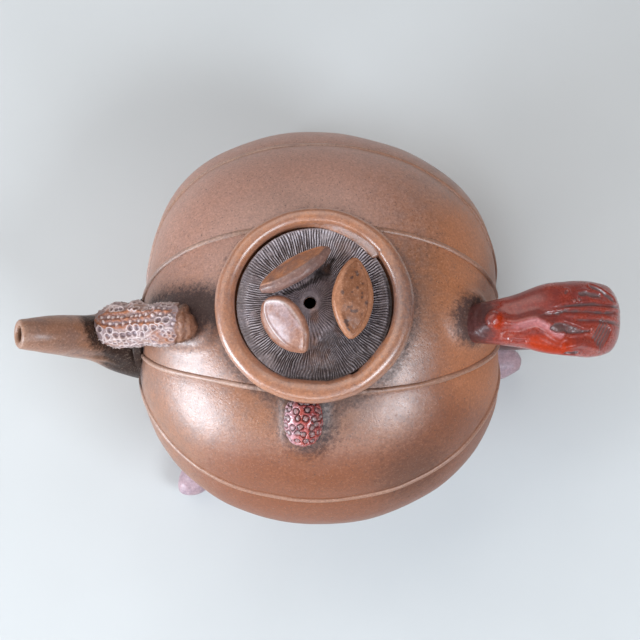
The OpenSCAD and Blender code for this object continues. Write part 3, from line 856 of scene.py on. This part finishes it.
def make_foot(number, bearing, slant, longer, bent):
    """A clove. slant cuts its tip on one side, longer is in millimetres and bent moves the tip sideways."""
    turn = math.radians(bearing)
    outward = np.array([math.cos(turn), math.sin(turn), 0])
    side = np.array([-math.sin(turn), math.cos(turn), 0])
    low, high = box_mm(f"foot_{number}")
    corners = np.array([[x, y] for x in (low[0], high[0]) for y in (low[1], high[1])])
    reach = min((corners @ outward[:2]).max(), 62.0) + longer
    half = 6.3
    # How far out and how high each section is, its half width as a share of half, and its half height
    sections = [[30.5, 15.5, 0.90, 5.4], [33.2, 9.6, 1, 6.4], [39.5, 6.8, 1, 7.2], [48.0, 6.0, 0.94, 6.5],
                [reach - 5.5, 6.8, 0.76, 5.0], [reach - 1.6, 7.7, 0.44, 3.0], [reach - 0.1, 8.1, 0.14, 1.0]]
    stations = [[*(outward * r)[:2], z, w * half, h] for r, z, w, h in sections]
    p, _ = sweep(stations, side, 130, 88, power=2.2)
    n = normals(p)
    across = p @ side
    out = p @ outward
    upper = smooth(0.1, 0.6, n[..., 2])
    height = 0.25 * layered(p / 9 + number, 2, 70 + number) + 0.05 * noise(p / 2.5, 75)
    crease = across - 1.2 - 0.9 * np.sin(out / 9)
    height -= 0.5 * upper * bump(crease, 0, 0.55) * smooth(38, 44, out) * (1 - 0.7 * smooth(48, 56, out))
    height -= 0.35 * upper * bump(across + 3.4, 0, 0.6) * between(out, 42, 48, 58, 61)
    tip = smooth(reach - 4, reach, out)
    p = p + n * (height * (1 - 0.6 * tip))[..., None]
    p = p - outward * (slant * np.maximum(0, -1.5 - across) * smooth(44, 54, out))[..., None]
    p = p - side * (bent * smooth(40, 48, out) * smooth(2, -5, across))[..., None]
    p[..., 2] = np.maximum(p[..., 2], 0)
    limit_low, limit_high = np.array(cad_bounds) / MM
    p[..., 1] = np.clip(p[..., 1], limit_low[1], limit_high[1])
    # Painted shade in the crease on top and where the foot tucks under the body.
    dark = 0.8 * upper * bump(crease, 0, 0.5) * between(out, 38, 44, 46, 53) + 0.8 * (1 - smooth(33, 41, out))
    add_piece(f"clove_foot_{number}", p, pink_clay, "pink_clay", f"foot_{number}", dark=clamp(dark))


# ---------------------------------------------------------------- peanut and mulberry

# Marks on the upper side of the peanut's shell, in millimetres from its centre
PEANUT = {
    "beads": [[-12.4, 2.0, 0.2], [-10.3, 2.1, 1.5], [-8.9, 1.9, 2.0], [-7.5, 2.1, 2.2],
              [-6.3, 1.8, 2.5], [-3.3, 2.0, 3.5], [-2.0, 2.0, 4.6], [-0.9, 2.0, 5.7], [1.0, 1.9, 7.6],
              [3.0, 1.4, 9.2], [5.3, 1.7, 10.2], [7.8, 1.2, 10.9], [-11.7, 0.7, 0.9], [-9.8, 0.0, 2.1],
              [-7.9, -0.3, 2.4], [-5.8, -0.2, 2.8], [-3.7, 0.1, 3.5], [-1.1, 0.2, 5.9],
              [1.0, -0.1, 7.9], [8.5, 0.2, 11.2], [9.0, -1.6, 11.0], [4.7, 3.8, 9.0], [6.2, 3.5, 9.8]],
    "rings": [[4.7, -0.5, 10.1], [-13.0, -1.6, 0.0], [-9.9, -2.3, 1.6], [-10.7, -3.9, 0.4],
              [-8.1, -3.7, 1.4], [-6.2, -3.9, 1.6], [-3.8, -1.9, 3.2], [-4.4, -3.7, 2.1],
              [-2.6, -3.6, 2.9], [-1.8, -1.9, 4.8], [0.8, -2.6, 7.1], [3.3, -2.6, 9.0],
              [-0.1, -4.2, 5.3], [7.0, -0.5, 10.9]],
    "small": [[-11.8, -4.9, -1.2], [-10.0, -5.5, -0.5], [-7.5, -5.3, 0.5], [-5.8, -5.4, 0.5],
              [-3.8, -5.1, 1.2], [-2.9, -6.0, -0.2], [-1.2, -5.4, 2.6], [0.4, -5.6, 4.1],
              [2.8, -5.5, 6.2], [3.8, -6.0, 6.2], [6.6, -5.2, 8.5], [7.6, -4.4, 9.3], [9.0, -5.5, 8.5],
              [8.2, -6.3, 7.2], [-8.8, -6.1, -0.9], [-5.4, -6.3, -1.1], [6.0, -4.1, 9.4],
              [10.3, -5.1, 8.9], [5.4, -2.6, 9.9], [-9.2, 4.3, 0.9], [-7.9, 4.1, 1.2], [-6.7, 4.4, 1.2],
              [-2.7, 5.9, -0.1], [-1.4, 6.0, 0.5], [0.7, 5.3, 4.4], [2.4, 4.4, 7.2]],
    "brown": [
        [[-13.1, 2.5, -0.4], [-11.2, 3.3, 0.4], [-9.1, 2.8, 1.8], [-7.6, 3.0, 1.9], [-5.7, 3.3, 2.0],
         [-3.7, 4.2, 1.9], [-1.5, 3.2, 4.3], [-0.2, 2.6, 6.4], [1.7, 2.9, 7.8]],
        [[-12.8, 1.4, 0.2], [-10.8, 1.0, 1.4], [-8.8, 0.9, 2.2], [-6.8, 1.0, 2.5], [-5.1, 1.1, 2.8],
         [-2.5, 1.1, 4.2], [-0.4, 1.1, 6.4], [1.7, 0.9, 8.3], [4.0, 2.9, 9.1], [5.8, 2.6, 10.1],
         [7.5, 2.2, 10.8]],
        [[-14.2, 1.6, -2.5], [-12.9, -0.3, 0.3], [-11.1, -1.0, 1.3], [-8.5, -1.2, 2.2],
         [-6.6, -1.2, 2.6], [-4.6, -0.8, 3.1], [-2.5, -0.8, 4.4], [-0.3, -1.0, 6.5], [1.8, -1.2, 8.3],
         [3.0, -1.5, 9.2], [5.6, -1.6, 10.4]]],
    "pale": [
        [[-12.4, -2.7, -0.1], [-11.6, -4.9, -0.6], [-9.2, -5.0, 0.4], [-7.5, -4.9, 0.7],
         [-5.0, -5.0, 1.0], [-1.1, -4.9, 3.2], [1.3, -4.9, 5.9], [2.9, -3.9, 8.0], [4.5, -3.0, 9.5],
         [8.5, -3.0, 10.6]],
        [[-11.2, 4.2, 0.1], [-9.3, 5.2, 0.1], [-7.3, 5.1, 0.3], [-5.8, 5.0, 0.9], [-4.0, 6.0, -0.5],
         [-1.8, 6.6, -1.0], [0.8, 6.0, 3.0], [3.3, 4.0, 8.2]]]}


def make_peanut():
    sections = [
        [-15.0, 0.2, -4.7, 1.8, 1.6], [-13.6, 0.2, -4.8, 4.4, 3.8], [-10.5, 0.1, -4.7, 6.1, 5.5],
        [-7.2, -0.1, -4.2, 6.8, 6.2], [-2.4, 0.0, -2.4, 6.9, 5.9], [1.6, -0.4, 0.2, 6.7, 5.7],
        [6.0, -0.8, 3.4, 6.8, 6.2], [9.6, -1.0, 5.4, 6.1, 5.8], [12.8, -0.9, 6.7, 4.8, 4.6],
        [14.7, -0.3, 7.3, 1.9, 1.9]]
    count = 250
    p, s = sweep(sections, [0, 1, 0], 230, count, at=peanut_at)
    n = normals(p)
    rel = p - peanut_at
    girth = s[:, 3]
    run = travelled(s)
    rows = 18
    lane = np.arange(count) / count * rows
    wave = 0.28 * np.sin(run[:, None] / 2.6 + 1.7 * np.floor(lane)) + 0.12 * np.sin(run[:, None] / 1.1)
    beads, rings, small = (snap(PEANUT[key], rel, n) for key in ("beads", "rings", "small"))
    drawn = np.concatenate([beads, rings, small])
    # Round the sides and underneath, pits of the same kind in rows
    rng = np.random.default_rng(12)
    others = []
    for row in range(rows):
        place_mm = 2.2 + 1.0 * (row % 2)
        while place_mm < run[-1] - 6.5:
            k = int(np.searchsorted(run, place_mm))
            j = int((row + 0.5 + 0.10 * rng.standard_normal()) / rows * count) % count
            if girth[k] > 3.2 and np.linalg.norm(drawn - rel[k, j], axis=1).min() > 1.9:
                others.append(rel[k, j])
            place_mm += 2.05 + 0.25 * rng.standard_normal()
    others = np.array(others)
    warp = 0.14 * noise(p / 0.9, 89)
    height = np.full(p.shape[:2], 0.1)
    deep = np.zeros(p.shape[:2])
    light = np.zeros(p.shape[:2])
    for centres, radius, floor, rim, dark in ((rings, 1.0, 0.42, 0.42, 0.85), (small, 0.62, 0.34, 0.26, 0.8),
                                              (others, 0.8, 0.4, 0.3, 0.75)):
        d = nearest(rel, centres) + warp
        pit = 1 - smooth(0.5, 0.95, d / radius)
        height += rim * bump(d, radius + 0.12, 0.24) - floor * pit
        deep = np.maximum(deep, dark * pit * (0.45 + 0.55 * smooth(0.2, 0.75, d / radius)))
        light = np.maximum(light, 0.9 * bump(d, radius + 0.12, 0.24))
    d = nearest(rel, beads) + 0.6 * warp
    height += 0.30 * (1 - smooth(0.15, 0.62, d)) - 0.30 * bump(d, 0.9, 0.25)
    deep = np.maximum(deep, 0.6 * bump(d, 0.88, 0.22))
    light = np.maximum(light, 1 - smooth(0.35, 0.62, d))
    # Long ridges: brown ones along the back, pale ones along the front and the far edge
    brown = np.zeros(p.shape[:2])
    for path in PEANUT["brown"]:
        d = distance(rel, snap(path, rel, n)) + 0.2 * noise(p / 1.2, 82)
        height += 0.55 * bump(d, 0, 0.5)
        brown = np.maximum(brown, bump(d, 0, 0.8) * (1 - 0.7 * clamp(light)))
    freckles = smooth(0.35, 0.75, layered(p / 0.8, 2, 86))
    brown = np.maximum(brown, 0.6 * freckles * (1 - clamp(light)))
    for path in PEANUT["pale"]:
        d = distance(rel, snap(path, rel, n))
        height += 0.5 * bump(d + 0.2 * noise(p / 1.2, 84), 0, 0.45)
        light = np.maximum(light, 0.8 * bump(d, 0, 0.4))
    hidden = 1 - smooth(0.1, 0.45, n[..., 2])
    seam = np.abs(np.sin(np.pi * (lane + wave)))
    ridge = (1 - smooth(0.0, 0.42, seam)) * hidden
    height += 0.42 * ridge
    brown = np.maximum(brown, 0.7 * ridge * (1 - clamp(deep)))
    # The blunt end is a smooth brown cap with folds across it, and the front corner is worn
    x, y = rel[..., 0], rel[..., 1]
    ragged = x + 0.7 * noise(p / 1.8, 81) - 0.10 * y
    cap = smooth(9.2, 10.4, ragged)
    worn = np.maximum(1 - smooth(2.0, 4.6, gap_to(rel, [4.6, -5.6, 7.2])),
                      0.8 * (1 - smooth(1.5, 3.6, gap_to(rel, [8.6, -5.6, 8.2]))))
    rough = layered(p / 1.3, 3, 85)
    folds = np.sin(ragged * 2.9 + 1.5 * noise(p / 2.2, 87))
    height = height * (1 - 0.85 * cap) * (1 - 0.35 * worn) + 0.14 * rough * (1 + 1.4 * worn)
    height += cap * 0.22 * folds * (1 - smooth(13.2, 14.6, x))
    # Fuller and slimmer places along the back, and the waist between the two kernels
    for rise, middle, width, start, stop in ((0.9, -2.6, 1.7, 2.5, 6.5), (1.1, -8.6, 2.8, 2.0, 6.0),
                                             (0.9, 12.2, 2.2, 1.0, 5.0), (-0.3, -5.4, 1.2, 2.5, 6.5)):
        height += rise * bump(x, middle, width) * smooth(start, stop, y)
    height -= 0.55 * bump(x, 0.8, 1.8) * smooth(3, 6.5, np.abs(y))
    taper = np.minimum(1, girth / 3.5)[:, None]
    p = fit_inside(p + n * (height * taper)[..., None], "peanut")
    brown = clamp(np.maximum(brown, worn * (0.65 + 0.5 * rough)))
    deep = clamp(deep * (1 - 0.6 * cap) + 0.55 * cap * smooth(0.1, 0.9, -folds))
    deep = clamp(deep + 0.6 * cap * smooth(0.1, 0.7, rough))
    brown = clamp(brown + 0.7 * cap * smooth(0.2, 0.8, -rough))
    light = clamp(light * (1 - cap) * (1 - 0.5 * worn))
    # Painted shade darkens the underside and the back of the cap.
    low = smooth(2.5, -3.5, p[..., 2] - s[:, None, 2])
    low = np.maximum(low, 0.75 * cap * smooth(0.5, 5.0, y))
    add_piece("peanut_shell", p, peanut_clay, "peanut_clay", "peanut",
              brown=brown, deep=deep, light=light, cap=cap, stain=low)


def make_mulberry():
    sections = [
        [0, 6.1, 1.9, 1.4, 1.2], [0, 5.3, 1.8, 3.8, 3.2], [0, 2.9, 1.4, 5.0, 4.2],
        [0, 0.0, 0.6, 5.25, 4.5], [0, -2.9, -0.8, 4.9, 4.2], [0, -5.1, -2.2, 3.4, 2.9],
        [0, -6.1, -2.9, 1.2, 1.0]]
    count = 220
    p, s = sweep(sections, [1, 0, 0], 160, count, at=mulberry_at)
    n = normals(p)
    run = travelled(s)
    rng = np.random.default_rng(5)
    centres = []
    row = 0
    place_mm = 0.9
    while place_mm < run[-1] - 0.4:
        k = int(np.searchsorted(run, place_mm))
        ring = p[k]
        length = np.linalg.norm(ring - np.roll(ring, 1, 0), axis=1).sum()
        around = max(4, int(round(length / 2.3)))
        for j in range(around):
            turn = (j + 0.5 * (row % 2) + 0.16 * rng.standard_normal()) / around
            centres.append(ring[int(turn * count) % count] + 0.22 * rng.standard_normal(3))
        place_mm += 1.95
        row += 1
    d = nearest(p, centres) * (1 + 0.24 * noise(p / 1.6, 94)) + 0.16 * noise(p / 0.6, 93)
    cell = (1 - smooth(0.78, 0.98, d)) * (0.75 + 0.5 * noise(p / 0.5, 95))
    net = smooth(0.9, 1.15, d)
    dome = 0.45 * np.sqrt(clamp(1 - (d / 0.86) ** 2))
    height = 0.42 * net - 0.55 * bump(d, 0.92, 0.15) + dome * 0.8 - 0.2
    pit = bump(d, 0.9, 0.17)
    taper = np.minimum(1, s[:, 3] / 2.5)[:, None]
    p = fit_inside(p + n * (height * taper + 0.10 * noise(p / 0.6, 91))[..., None], "mulberry")
    # Painted shade underneath and in the rings round the drupelets; a painted highlight on the left side.
    low = smooth(0.5, -2.5, p[..., 2] - s[:, None, 2])
    wash = smooth(1.0, -4.5, p[..., 0] - mulberry_at[0])
    add_piece("mulberry_fruit", p, mulberry_clay, "mulberry_clay", "mulberry",
              cell=clamp(cell), wash=wash, stain=clamp(np.maximum(low, 0.75 * pit)))


# ---------------------------------------------------------------- lid

cap_low, cap_high = box_mm("lid_cap")
gill_low, gill_high = box_mm("gill_disc")
LID_R = cap_high[0]
SEAT_Z = cap_low[2]
CREST_Z = cap_high[2]
GILL_R = gill_high[0]
VENT = np.array([-1.3, 0.8])
VENT_R = 1.7


def inner_edge(turn):
    """Radius of the rim's inner edge at each bearing, in degrees."""
    edge = np.full_like(turn, 22.0)
    edge += 0.45 * np.cos(np.radians(turn - 95))
    flat = 20.9 / np.maximum(np.cos(np.radians(turn - 266)), 0.3)
    edge = np.where(np.abs(turn - 266) < 34, np.minimum(edge, flat), edge)
    step = between(turn, 296, 298, 298, 318)
    return edge + 0.5 * step


def broad_slope(turn):
    """1 where the rim's inner side is a broad smooth slope, which ends at a notch."""
    rise = smooth(125, 48, turn) * smooth(36.6, 39.6, turn)
    front = 0.4 * between(turn, 299, 306, 326, 345)
    return np.maximum(rise, front)


def make_lid_cap():
    count = 420
    turn = 360 * np.arange(count) / count
    rad = np.radians(turn)
    slope = broad_slope(turn)
    edge = inner_edge(turn) + 0.35 * slope
    wobble = 0.16 * np.sin(2 * rad + 1.1) + 0.10 * np.sin(5 * rad + 2.0) + 0.06 * np.sin(11 * rad)
    outer = LID_R - 0.05 - 0.2 * np.abs(np.sin(rad)) + 0.4 * wobble
    outer = np.minimum(outer, LID_R)
    crest = CREST_Z - 0.2 + 0.15 * np.sin(3 * rad + 0.4) - 0.15 * np.sin(2 * rad)
    mid_r = (outer + edge) / 2
    half_r = (outer - edge) / 2
    mid_z = SEAT_Z + 3.45
    half_z = crest - mid_z
    rings = []

    def ring(radius, z):
        rings.append((radius + 0 * turn, z + 0 * turn))

    ring(VENT_R + 0.02, SEAT_Z)
    for radius in (6, 12, 18, 22.5):
        ring(radius, SEAT_Z)
    ring(23.6, SEAT_Z + 0.05)
    last, power = 168, 0.92
    for a in np.radians(np.linspace(-58, last, 40)):
        rise = 3.1 if np.sin(a) < 0 else half_z
        ring(mid_r + half_r * signed_pow(np.cos(a), power), mid_z + rise * signed_pow(np.sin(a), power))
    # The inner side: steep and a little undercut, or a broad slope down to the gills
    shoulder_z = mid_z + half_z * math.sin(math.radians(last)) ** power
    toe_r = edge + 0.15 * (1 - slope) - 2.0 * slope
    toe_z = SEAT_Z + 1.9 + 1.9 * slope
    for t in (0.2, 0.4, 0.6, 0.8, 1.0):
        drop = t ** (1 + 0.4 * slope)
        out = 0.25 * slope * math.sin(math.pi * t)
        ring((edge + 0.1) * (1 - t) + toe_r * t + out, shoulder_z * (1 - drop) + toe_z * drop)
    ring(toe_r + 0.1, SEAT_Z + 1.2)
    for radius in (18.5, 15, 10, 5):
        ring(radius, SEAT_Z + 1.1)
    ring(VENT_R + 0.02, SEAT_Z + 1.1)
    radius = np.stack([r for r, _ in rings])
    z = np.stack([h for _, h in rings])
    # The rings near the vent are centred on it, and those near the rim on the axis
    share = 1 - smooth(VENT_R, 14, radius)
    p = np.stack([radius * np.cos(rad) + VENT[0] * share, radius * np.sin(rad) + VENT[1] * share, z], -1)
    rim = smooth(19.5, 21.5, radius) * smooth(SEAT_Z + 1.3, SEAT_Z + 2.5, z)
    p[..., 2] += rim * 0.10 * noise(p / 5, 101)
    out = p * [1, 1, 0]
    p = p + unit(out) * (rim * 0.12 * noise(p / 6, 103))[..., None]
    p[..., 2] = np.minimum(p[..., 2], CREST_Z)
    # A pale painted highlight on the broad slope, fading toward the back.
    pale = (slope * (1 - 0.55 * smooth(55, 105, turn)) * smooth(mid_z - 3.5, mid_z - 0.5, z)
            * (1 - smooth(22.3, 23.4, radius)) * smooth(19.9, 22.5, radius))
    # Painted shade on the inner wall and at its foot, under the outer edge, on the right side, and a little
    # on the left and the front.
    aside = np.minimum(turn, 360 - turn)
    right = bump(aside, 0, 60)
    inner = (0.4 + 0.3 * right - 0.1 * slope) * (1 - smooth(21.4, 22.2, radius + 1.3 * slope))
    stain = most(
        inner * smooth(19, 20.5, radius) * (1 - smooth(mid_z, mid_z + 1.6, z)),
        0.8 * (1 - smooth(SEAT_Z + 0.9, SEAT_Z + 2.2, z)) * smooth(22, 23.5, radius),
        (0.3 + 0.25 * right) * (1 - slope) * (1 - smooth(21.6, 23.9, radius)) * smooth(19, 20.5, radius),
        0.75 * slope * (1 - smooth(19.9, 21.9, radius)) * smooth(18, 19, radius),
        0.62 * bump(aside, 0, 38) * smooth(20, 22, radius),
        0.25 * bump(turn, 180, 30) * smooth(20, 22, radius),
        0.18 * bump(turn, 285, 55) * smooth(20, 22, radius))
    add_piece("lid_rim", p, rim_clay, "rim_clay", "lid_cap", "lid_top", wrap_u=True, pale=pale, stain=stain)


def make_gills():
    fins = 168
    count = fins * 7
    rings = 72
    rad = TAU * np.arange(count)[None, :] / count
    t = np.linspace(0, 1, rings)[:, None]
    radius = VENT_R + (GILL_R - 0.05 - VENT_R) * t
    share = 1 - smooth(3, 19, radius)
    x = radius * np.cos(rad) + VENT[0] * share
    y = radius * np.sin(rad) + VENT[1] * share
    flat = np.stack([x, y, np.zeros_like(x)], -1)
    bearing = np.degrees(rad)

    def patches(size, seed, level=0):
        return noise(np.stack([x / size, y / size, 0 * x + level], -1), seed)

    # Raised a little round the vent, low halfway out and curled up at the edge, with a gap beside the rim
    slope = broad_slope(bearing)
    curl = 2.0 * smooth(16.2, GILL_R, radius) ** 1.2 * (1 - 0.55 * slope)
    base = gill_low[2] + 0.45 + 0.75 * (1 - smooth(5, 13, radius)) + curl
    spout_side = bump(bearing, 186, 40)
    moat = most(spout_side * smooth(18.6, 20.0, radius),
                (bump(bearing, 4, 30) + bump(bearing, 364, 30)) * smooth(20.2, 21.0, radius),
                0.5 * bump(bearing, 265, 34) * smooth(19.8, 20.8, radius))
    base = base - 1.3 * moat * (1 - 0.6 * spout_side) + 0.16 * layered(flat / 5, 2, 111)
    # The fins wander, run together in places and fade out round the vent
    wander = 0.8 * patches(6, 113) + 0.45 * patches(2.2, 115)
    phase = fins * rad / TAU + wander * (0.6 + 1.3 * bump(bearing, 275, 40))
    wave = np.abs(2 * (phase % 1) - 1)
    fin = 1 - wave ** 1.4
    start = 8.4 + 2.4 * noise(np.stack([np.cos(rad) * 2.2, np.sin(rad) * 2.2, 0 * rad], -1), 117)
    depth = smooth(start, start + 2.5, radius) * (1 - 0.85 * smooth(GILL_R - 0.8, GILL_R, radius))
    depth = depth * (1 - 0.85 * moat) * (1 - 0.6 * smooth(0.15, 0.7, patches(2.4, 119, 4)))
    # Round the vent a third as many, and shallow
    inner_phase = fins / 3 * rad / TAU + 0.8 * wander
    inner_wave = np.abs(2 * (inner_phase % 1) - 1)
    patchy = 0.75 + 0.45 * patches(2.2, 129, 9)
    inner_depth = patchy * smooth(2.3, 3.6, radius) * (1 - smooth(start, start + 2.5, radius))
    uneven = noise(np.stack([np.floor(phase) * 1.7, radius / 1.5 + 0 * rad, 0 * x], -1), 121)
    rise = depth * (0.75 * (fin - 0.5) + 0.45 * uneven * fin) + 0.4 * inner_depth * (0.5 - inner_wave ** 1.4)
    rough = 0.12 * layered(flat / 1.1, 2, 123)
    z = np.clip(base + rise + rough, gill_low[2] - 0.15, SEAT_Z + 5.2)
    bottom = []
    for r in (GILL_R - 0.05, 16.0, 10.0, 5.0, VENT_R):
        share = 1 - smooth(3, 19, np.array(r))
        bottom.append(np.stack([r * np.cos(rad[0]) + VENT[0] * share, r * np.sin(rad[0]) + VENT[1] * share,
                                np.full(count, gill_low[2] - 0.3)], -1))
    p = np.concatenate([np.stack([x, y, z], -1), np.stack(bottom)])

    def upper_mark(values):
        mark = np.zeros(p.shape[:2])
        mark[:rings] = clamp(values)
        return mark

    # Painted shade between the fins, round the vent and toward the front right.
    front_right = (x - y) * 0.707
    gap = most(depth * smooth(0.35, 0.85, wave - 0.2 * uneven),
               0.9 * inner_depth * smooth(0.4, 0.9, inner_wave),
               0.8 * smooth(VENT_R + 0.35, VENT_R, radius))
    gap = gap + 0.6 * smooth(-5, 14, front_right) * smooth(7, 12, radius)
    # A painted shadow of the back seed runs across the fins at the back
    nook_path = [[-8.4, 3.1, 0], [-3.2, 5.3, 0], [0.5, 7.5, 0], [3.1, 9.8, 0], [5.3, 12.7, 0]]
    d, along = path_distance(flat, nook_path)
    d = d + 0.5 * noise(flat / 1.3, 127)
    nook = bump(np.maximum(d - 0.1, 0), 0, 0.4 + 1.9 * bump(along, 0.72, 0.17))
    # A painted highlight on the fin crests, stronger toward the back left.
    crest = (depth * smooth(0.55, 0.1, wave) * smooth(-0.5, 0.5, uneven)
             + 0.5 * inner_depth * smooth(0.5, 0.1, inner_wave))
    crest = crest * (1 - 0.6 * smooth(-5, 14, front_right)) + 0.5 * depth * smooth(2, -12, front_right)
    brown = (0.6 * smooth(0.25, 0.9, patches(3.4, 125)) * (1 - smooth(9, 15, radius))
             + (0.55 * bump(bearing, 268, 26) * bump(radius, 13, 5)
                + 0.5 * bump(bearing, 62, 14) * bump(radius, 18, 3)))
    # Painted shade in the channel beside the rim and the back seed's painted shadow share one mark.
    marks = {"gap": gap, "crest": crest, "plate": 1 - smooth(start - 0.5, start + 2, radius),
             "moat": np.maximum(moat * (1 - 0.5 * spout_side), 0.85 * nook), "brown": brown}
    marks = {key: upper_mark(values) for key, values in marks.items()}
    add_piece("mushroom_gills", p, gill_clay, "gill_clay", "gill_disc", "lid_top", wrap_u=True, **marks)


# Outlines of the seeds: how far along and how wide, as shares of the half length and half width
BLUNT = [[-1.00, 0.12], [-0.93, 0.42], [-0.70, 0.78], [-0.30, 1.00],
         [0.20, 0.96], [0.62, 0.68], [0.88, 0.34], [1.00, 0.10]]
SPINDLE = [[-1.00, 0.10], [-0.90, 0.34], [-0.66, 0.68], [-0.24, 0.97],
           [0.24, 0.97], [0.66, 0.66], [0.90, 0.33], [1.00, 0.10]]


def make_seed(number, outline, half_len, bearing, lean, material, spots, ring, surround, band):
    """One seed. spots, ring and surround are the strengths of its dark spots, pale line and wide edge tone.

    band is how far the thick edge reaches over the face on the side of the vent.
    """
    half_w = 6.0
    half_t = 2.3
    s = spline(outline, np.linspace(0, len(outline) - 1, 113))
    along = s[:, 0:1]
    x = along * half_len
    w = s[:, 1:2] * half_w
    thick = half_t * np.maximum(s[:, 1:2], 0.02) ** 0.6
    turn = turns(144)[None, :]
    cos, sin = signed_pow(np.cos(turn), 0.8), signed_pow(np.sin(turn), 0.72)
    face = smooth(0.45, 0.75, np.abs(np.sin(turn)))
    # The face sinks a little inside a raised line that follows the edge
    inner = np.sqrt((cos * (1 + band * smooth(0, 0.6, -cos * np.sign(lean)))) ** 2 + (along / 0.98) ** 4)
    relief = -0.20 * (1 - smooth(0.55, 0.8, inner)) + 0.20 * bump(inner, 0.86, 0.08)
    belly = 0.14 * bump(inner, 0, 0.4)
    z = thick * sin + np.sign(sin) * face * (relief + belly) * np.minimum(1, thick / 1.5)
    p = np.stack([x + 0 * turn, w * cos, z], -1)
    n = normals(p)
    p = p + n * (0.12 * layered(p / 4 + 10 * number, 2, 130 + number) + 0.05 * noise(p / 1.1, 135))[..., None]
    lean_m = Matrix.Rotation(math.radians(bearing), 3, "Z") @ Matrix.Rotation(math.radians(lean), 3, "X")
    p = p @ np.array(lean_m).T
    low, high = p.reshape(-1, 3).min(axis=0), p.reshape(-1, 3).max(axis=0)
    cad_low, cad_high = box_mm(f"seed_{number}")
    p = p + (cad_low + cad_high) / 2 - (low + high) / 2
    p[..., 2] = np.minimum(p[..., 2], cad_high[2])
    edge = np.maximum(1 - smooth(0.5, 0.85, np.abs(np.sin(turn))), smooth(0.88, 0.98, inner)) + 0 * x
    edge = np.maximum(edge, surround * np.maximum(smooth(0.92, 0.98, inner), smooth(0.2, 0.6, along)))
    line = face * bump(inner, 0.86, 0.08) * (1 - smooth(0.1, 0.6, along)) * ring
    flat = p - (cad_low + cad_high) / 2
    spot = spots * smooth(0.35, 0.75, layered(flat / 1.3, 2, 140 + number)) * face * (1 - edge)
    add_piece(f"melon_seed_{number}", p, material, "seed_clay", f"seed_{number}", "lid_top",
              edge=edge, line=line, spot=spot)


# ---------------------------------------------------------------- build

make_body()
for number in range(1, LOBES + 1):
    make_rib(number)
make_spout()
make_handle()
make_spur()
make_foot(1, 355, slant=0.95, longer=0, bent=2.2)
make_foot(2, 226, slant=0.1, longer=1.1, bent=0)
make_foot(3, 110, slant=0.4, longer=0, bent=0)
make_peanut()
make_mulberry()
make_lid_cap()
make_gills()
# Face and edge tones of each seed; the right seed's edge band is painted lighter than its face, as painted
# light.
back_clay = seed_clay("seed_clay_back", (182, 120, 84), (122, 92, 86), (0.34, 0.48))
right_clay = seed_clay("seed_clay_right", (146, 92, 62), (182, 122, 88), (0.32, 0.46))
left_clay = seed_clay("seed_clay_left", (178, 149, 148), (156, 102, 74), (0.32, 0.46))
make_seed(1, SPINDLE, 11.1, 31, -60, back_clay, spots=0.3, ring=0.2, surround=0.0, band=0.35)
make_seed(2, SPINDLE, 11.2, 267, -26, right_clay, spots=0.9, ring=0.0, surround=0.0, band=0.5)
make_seed(3, BLUNT, 9.1, 305.5, 30, left_clay, spots=0.2, ring=1.0, surround=0.9, band=0.7)

inner_clay = clay("inner_clay", (158, 112, 88), (150, 108, 88), (136, 102, 90), (0.45, 0.6))
for name in ("mouth_collar", "base_disc", "spout_strainer", "lid_flange"):
    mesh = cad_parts[name].data
    mesh.materials.clear()
    mesh.materials.append(inner_clay)


# ---------------------------------------------------------------- floor and light

def make_floor():
    mesh = bpy.data.meshes.new("floor")
    mesh.from_pydata([(-6, -6, 0), (6, -6, 0), (6, 6, 0), (-6, 6, 0)], [], [(0, 1, 2, 3)])
    floor = bpy.data.objects.new("floor", mesh)
    bpy.context.collection.objects.link(floor)
    s = Shader("floor_paper")
    tone = s.mix(s.remap(s.noise(0.01, 3.0), 0.3, 0.7), (0.55, 0.55, 0.54, 1), (0.59, 0.59, 0.58, 1))
    surface = s.add("BsdfPrincipled", {"Base Color": tone, "Roughness": 0.8})
    s.add("OutputMaterial", {"Surface": surface})
    mesh.materials.append(s.material)


def add_light(name, direction, away, size, power, colour):
    data = bpy.data.lights.new(name, "AREA")
    data.shape = "RECTANGLE"
    data.size, data.size_y = size
    data.energy = power
    data.color = colour
    light = bpy.data.objects.new(name, data)
    bpy.context.collection.objects.link(light)
    way = Vector(direction).normalized()
    light.location = TABLE_MIDDLE + way * away
    light.rotation_mode = "QUATERNION"
    light.rotation_quaternion = way.to_track_quat("Z", "Y")


make_floor()
add_light("key", (-0.86, -0.42, 0.30), 0.9, (0.46, 0.40), 11.0, (0.78, 0.89, 1.0))
add_light("second", (0.52, -0.44, 0.73), 0.9, (0.34, 0.34), 5.2, (0.80, 0.90, 1.0))
add_light("front", (-0.05, -0.84, 0.54), 0.9, (0.9, 0.16), 2.6, (0.90, 0.95, 1.0))
add_light("overhead", (-0.30, 0.50, 0.81), 1.2, (1.6, 1.1), 8.6, (1.0, 0.96, 0.92))
world = bpy.data.worlds.new("studio")
world.use_nodes = True
world.node_tree.nodes["Background"].inputs["Color"].default_value = (0.92, 0.94, 1.0, 1)
world.node_tree.nodes["Background"].inputs["Strength"].default_value = 0.18
bpy.context.scene.world = world
bpy.context.scene.view_settings.view_transform = "Standard"
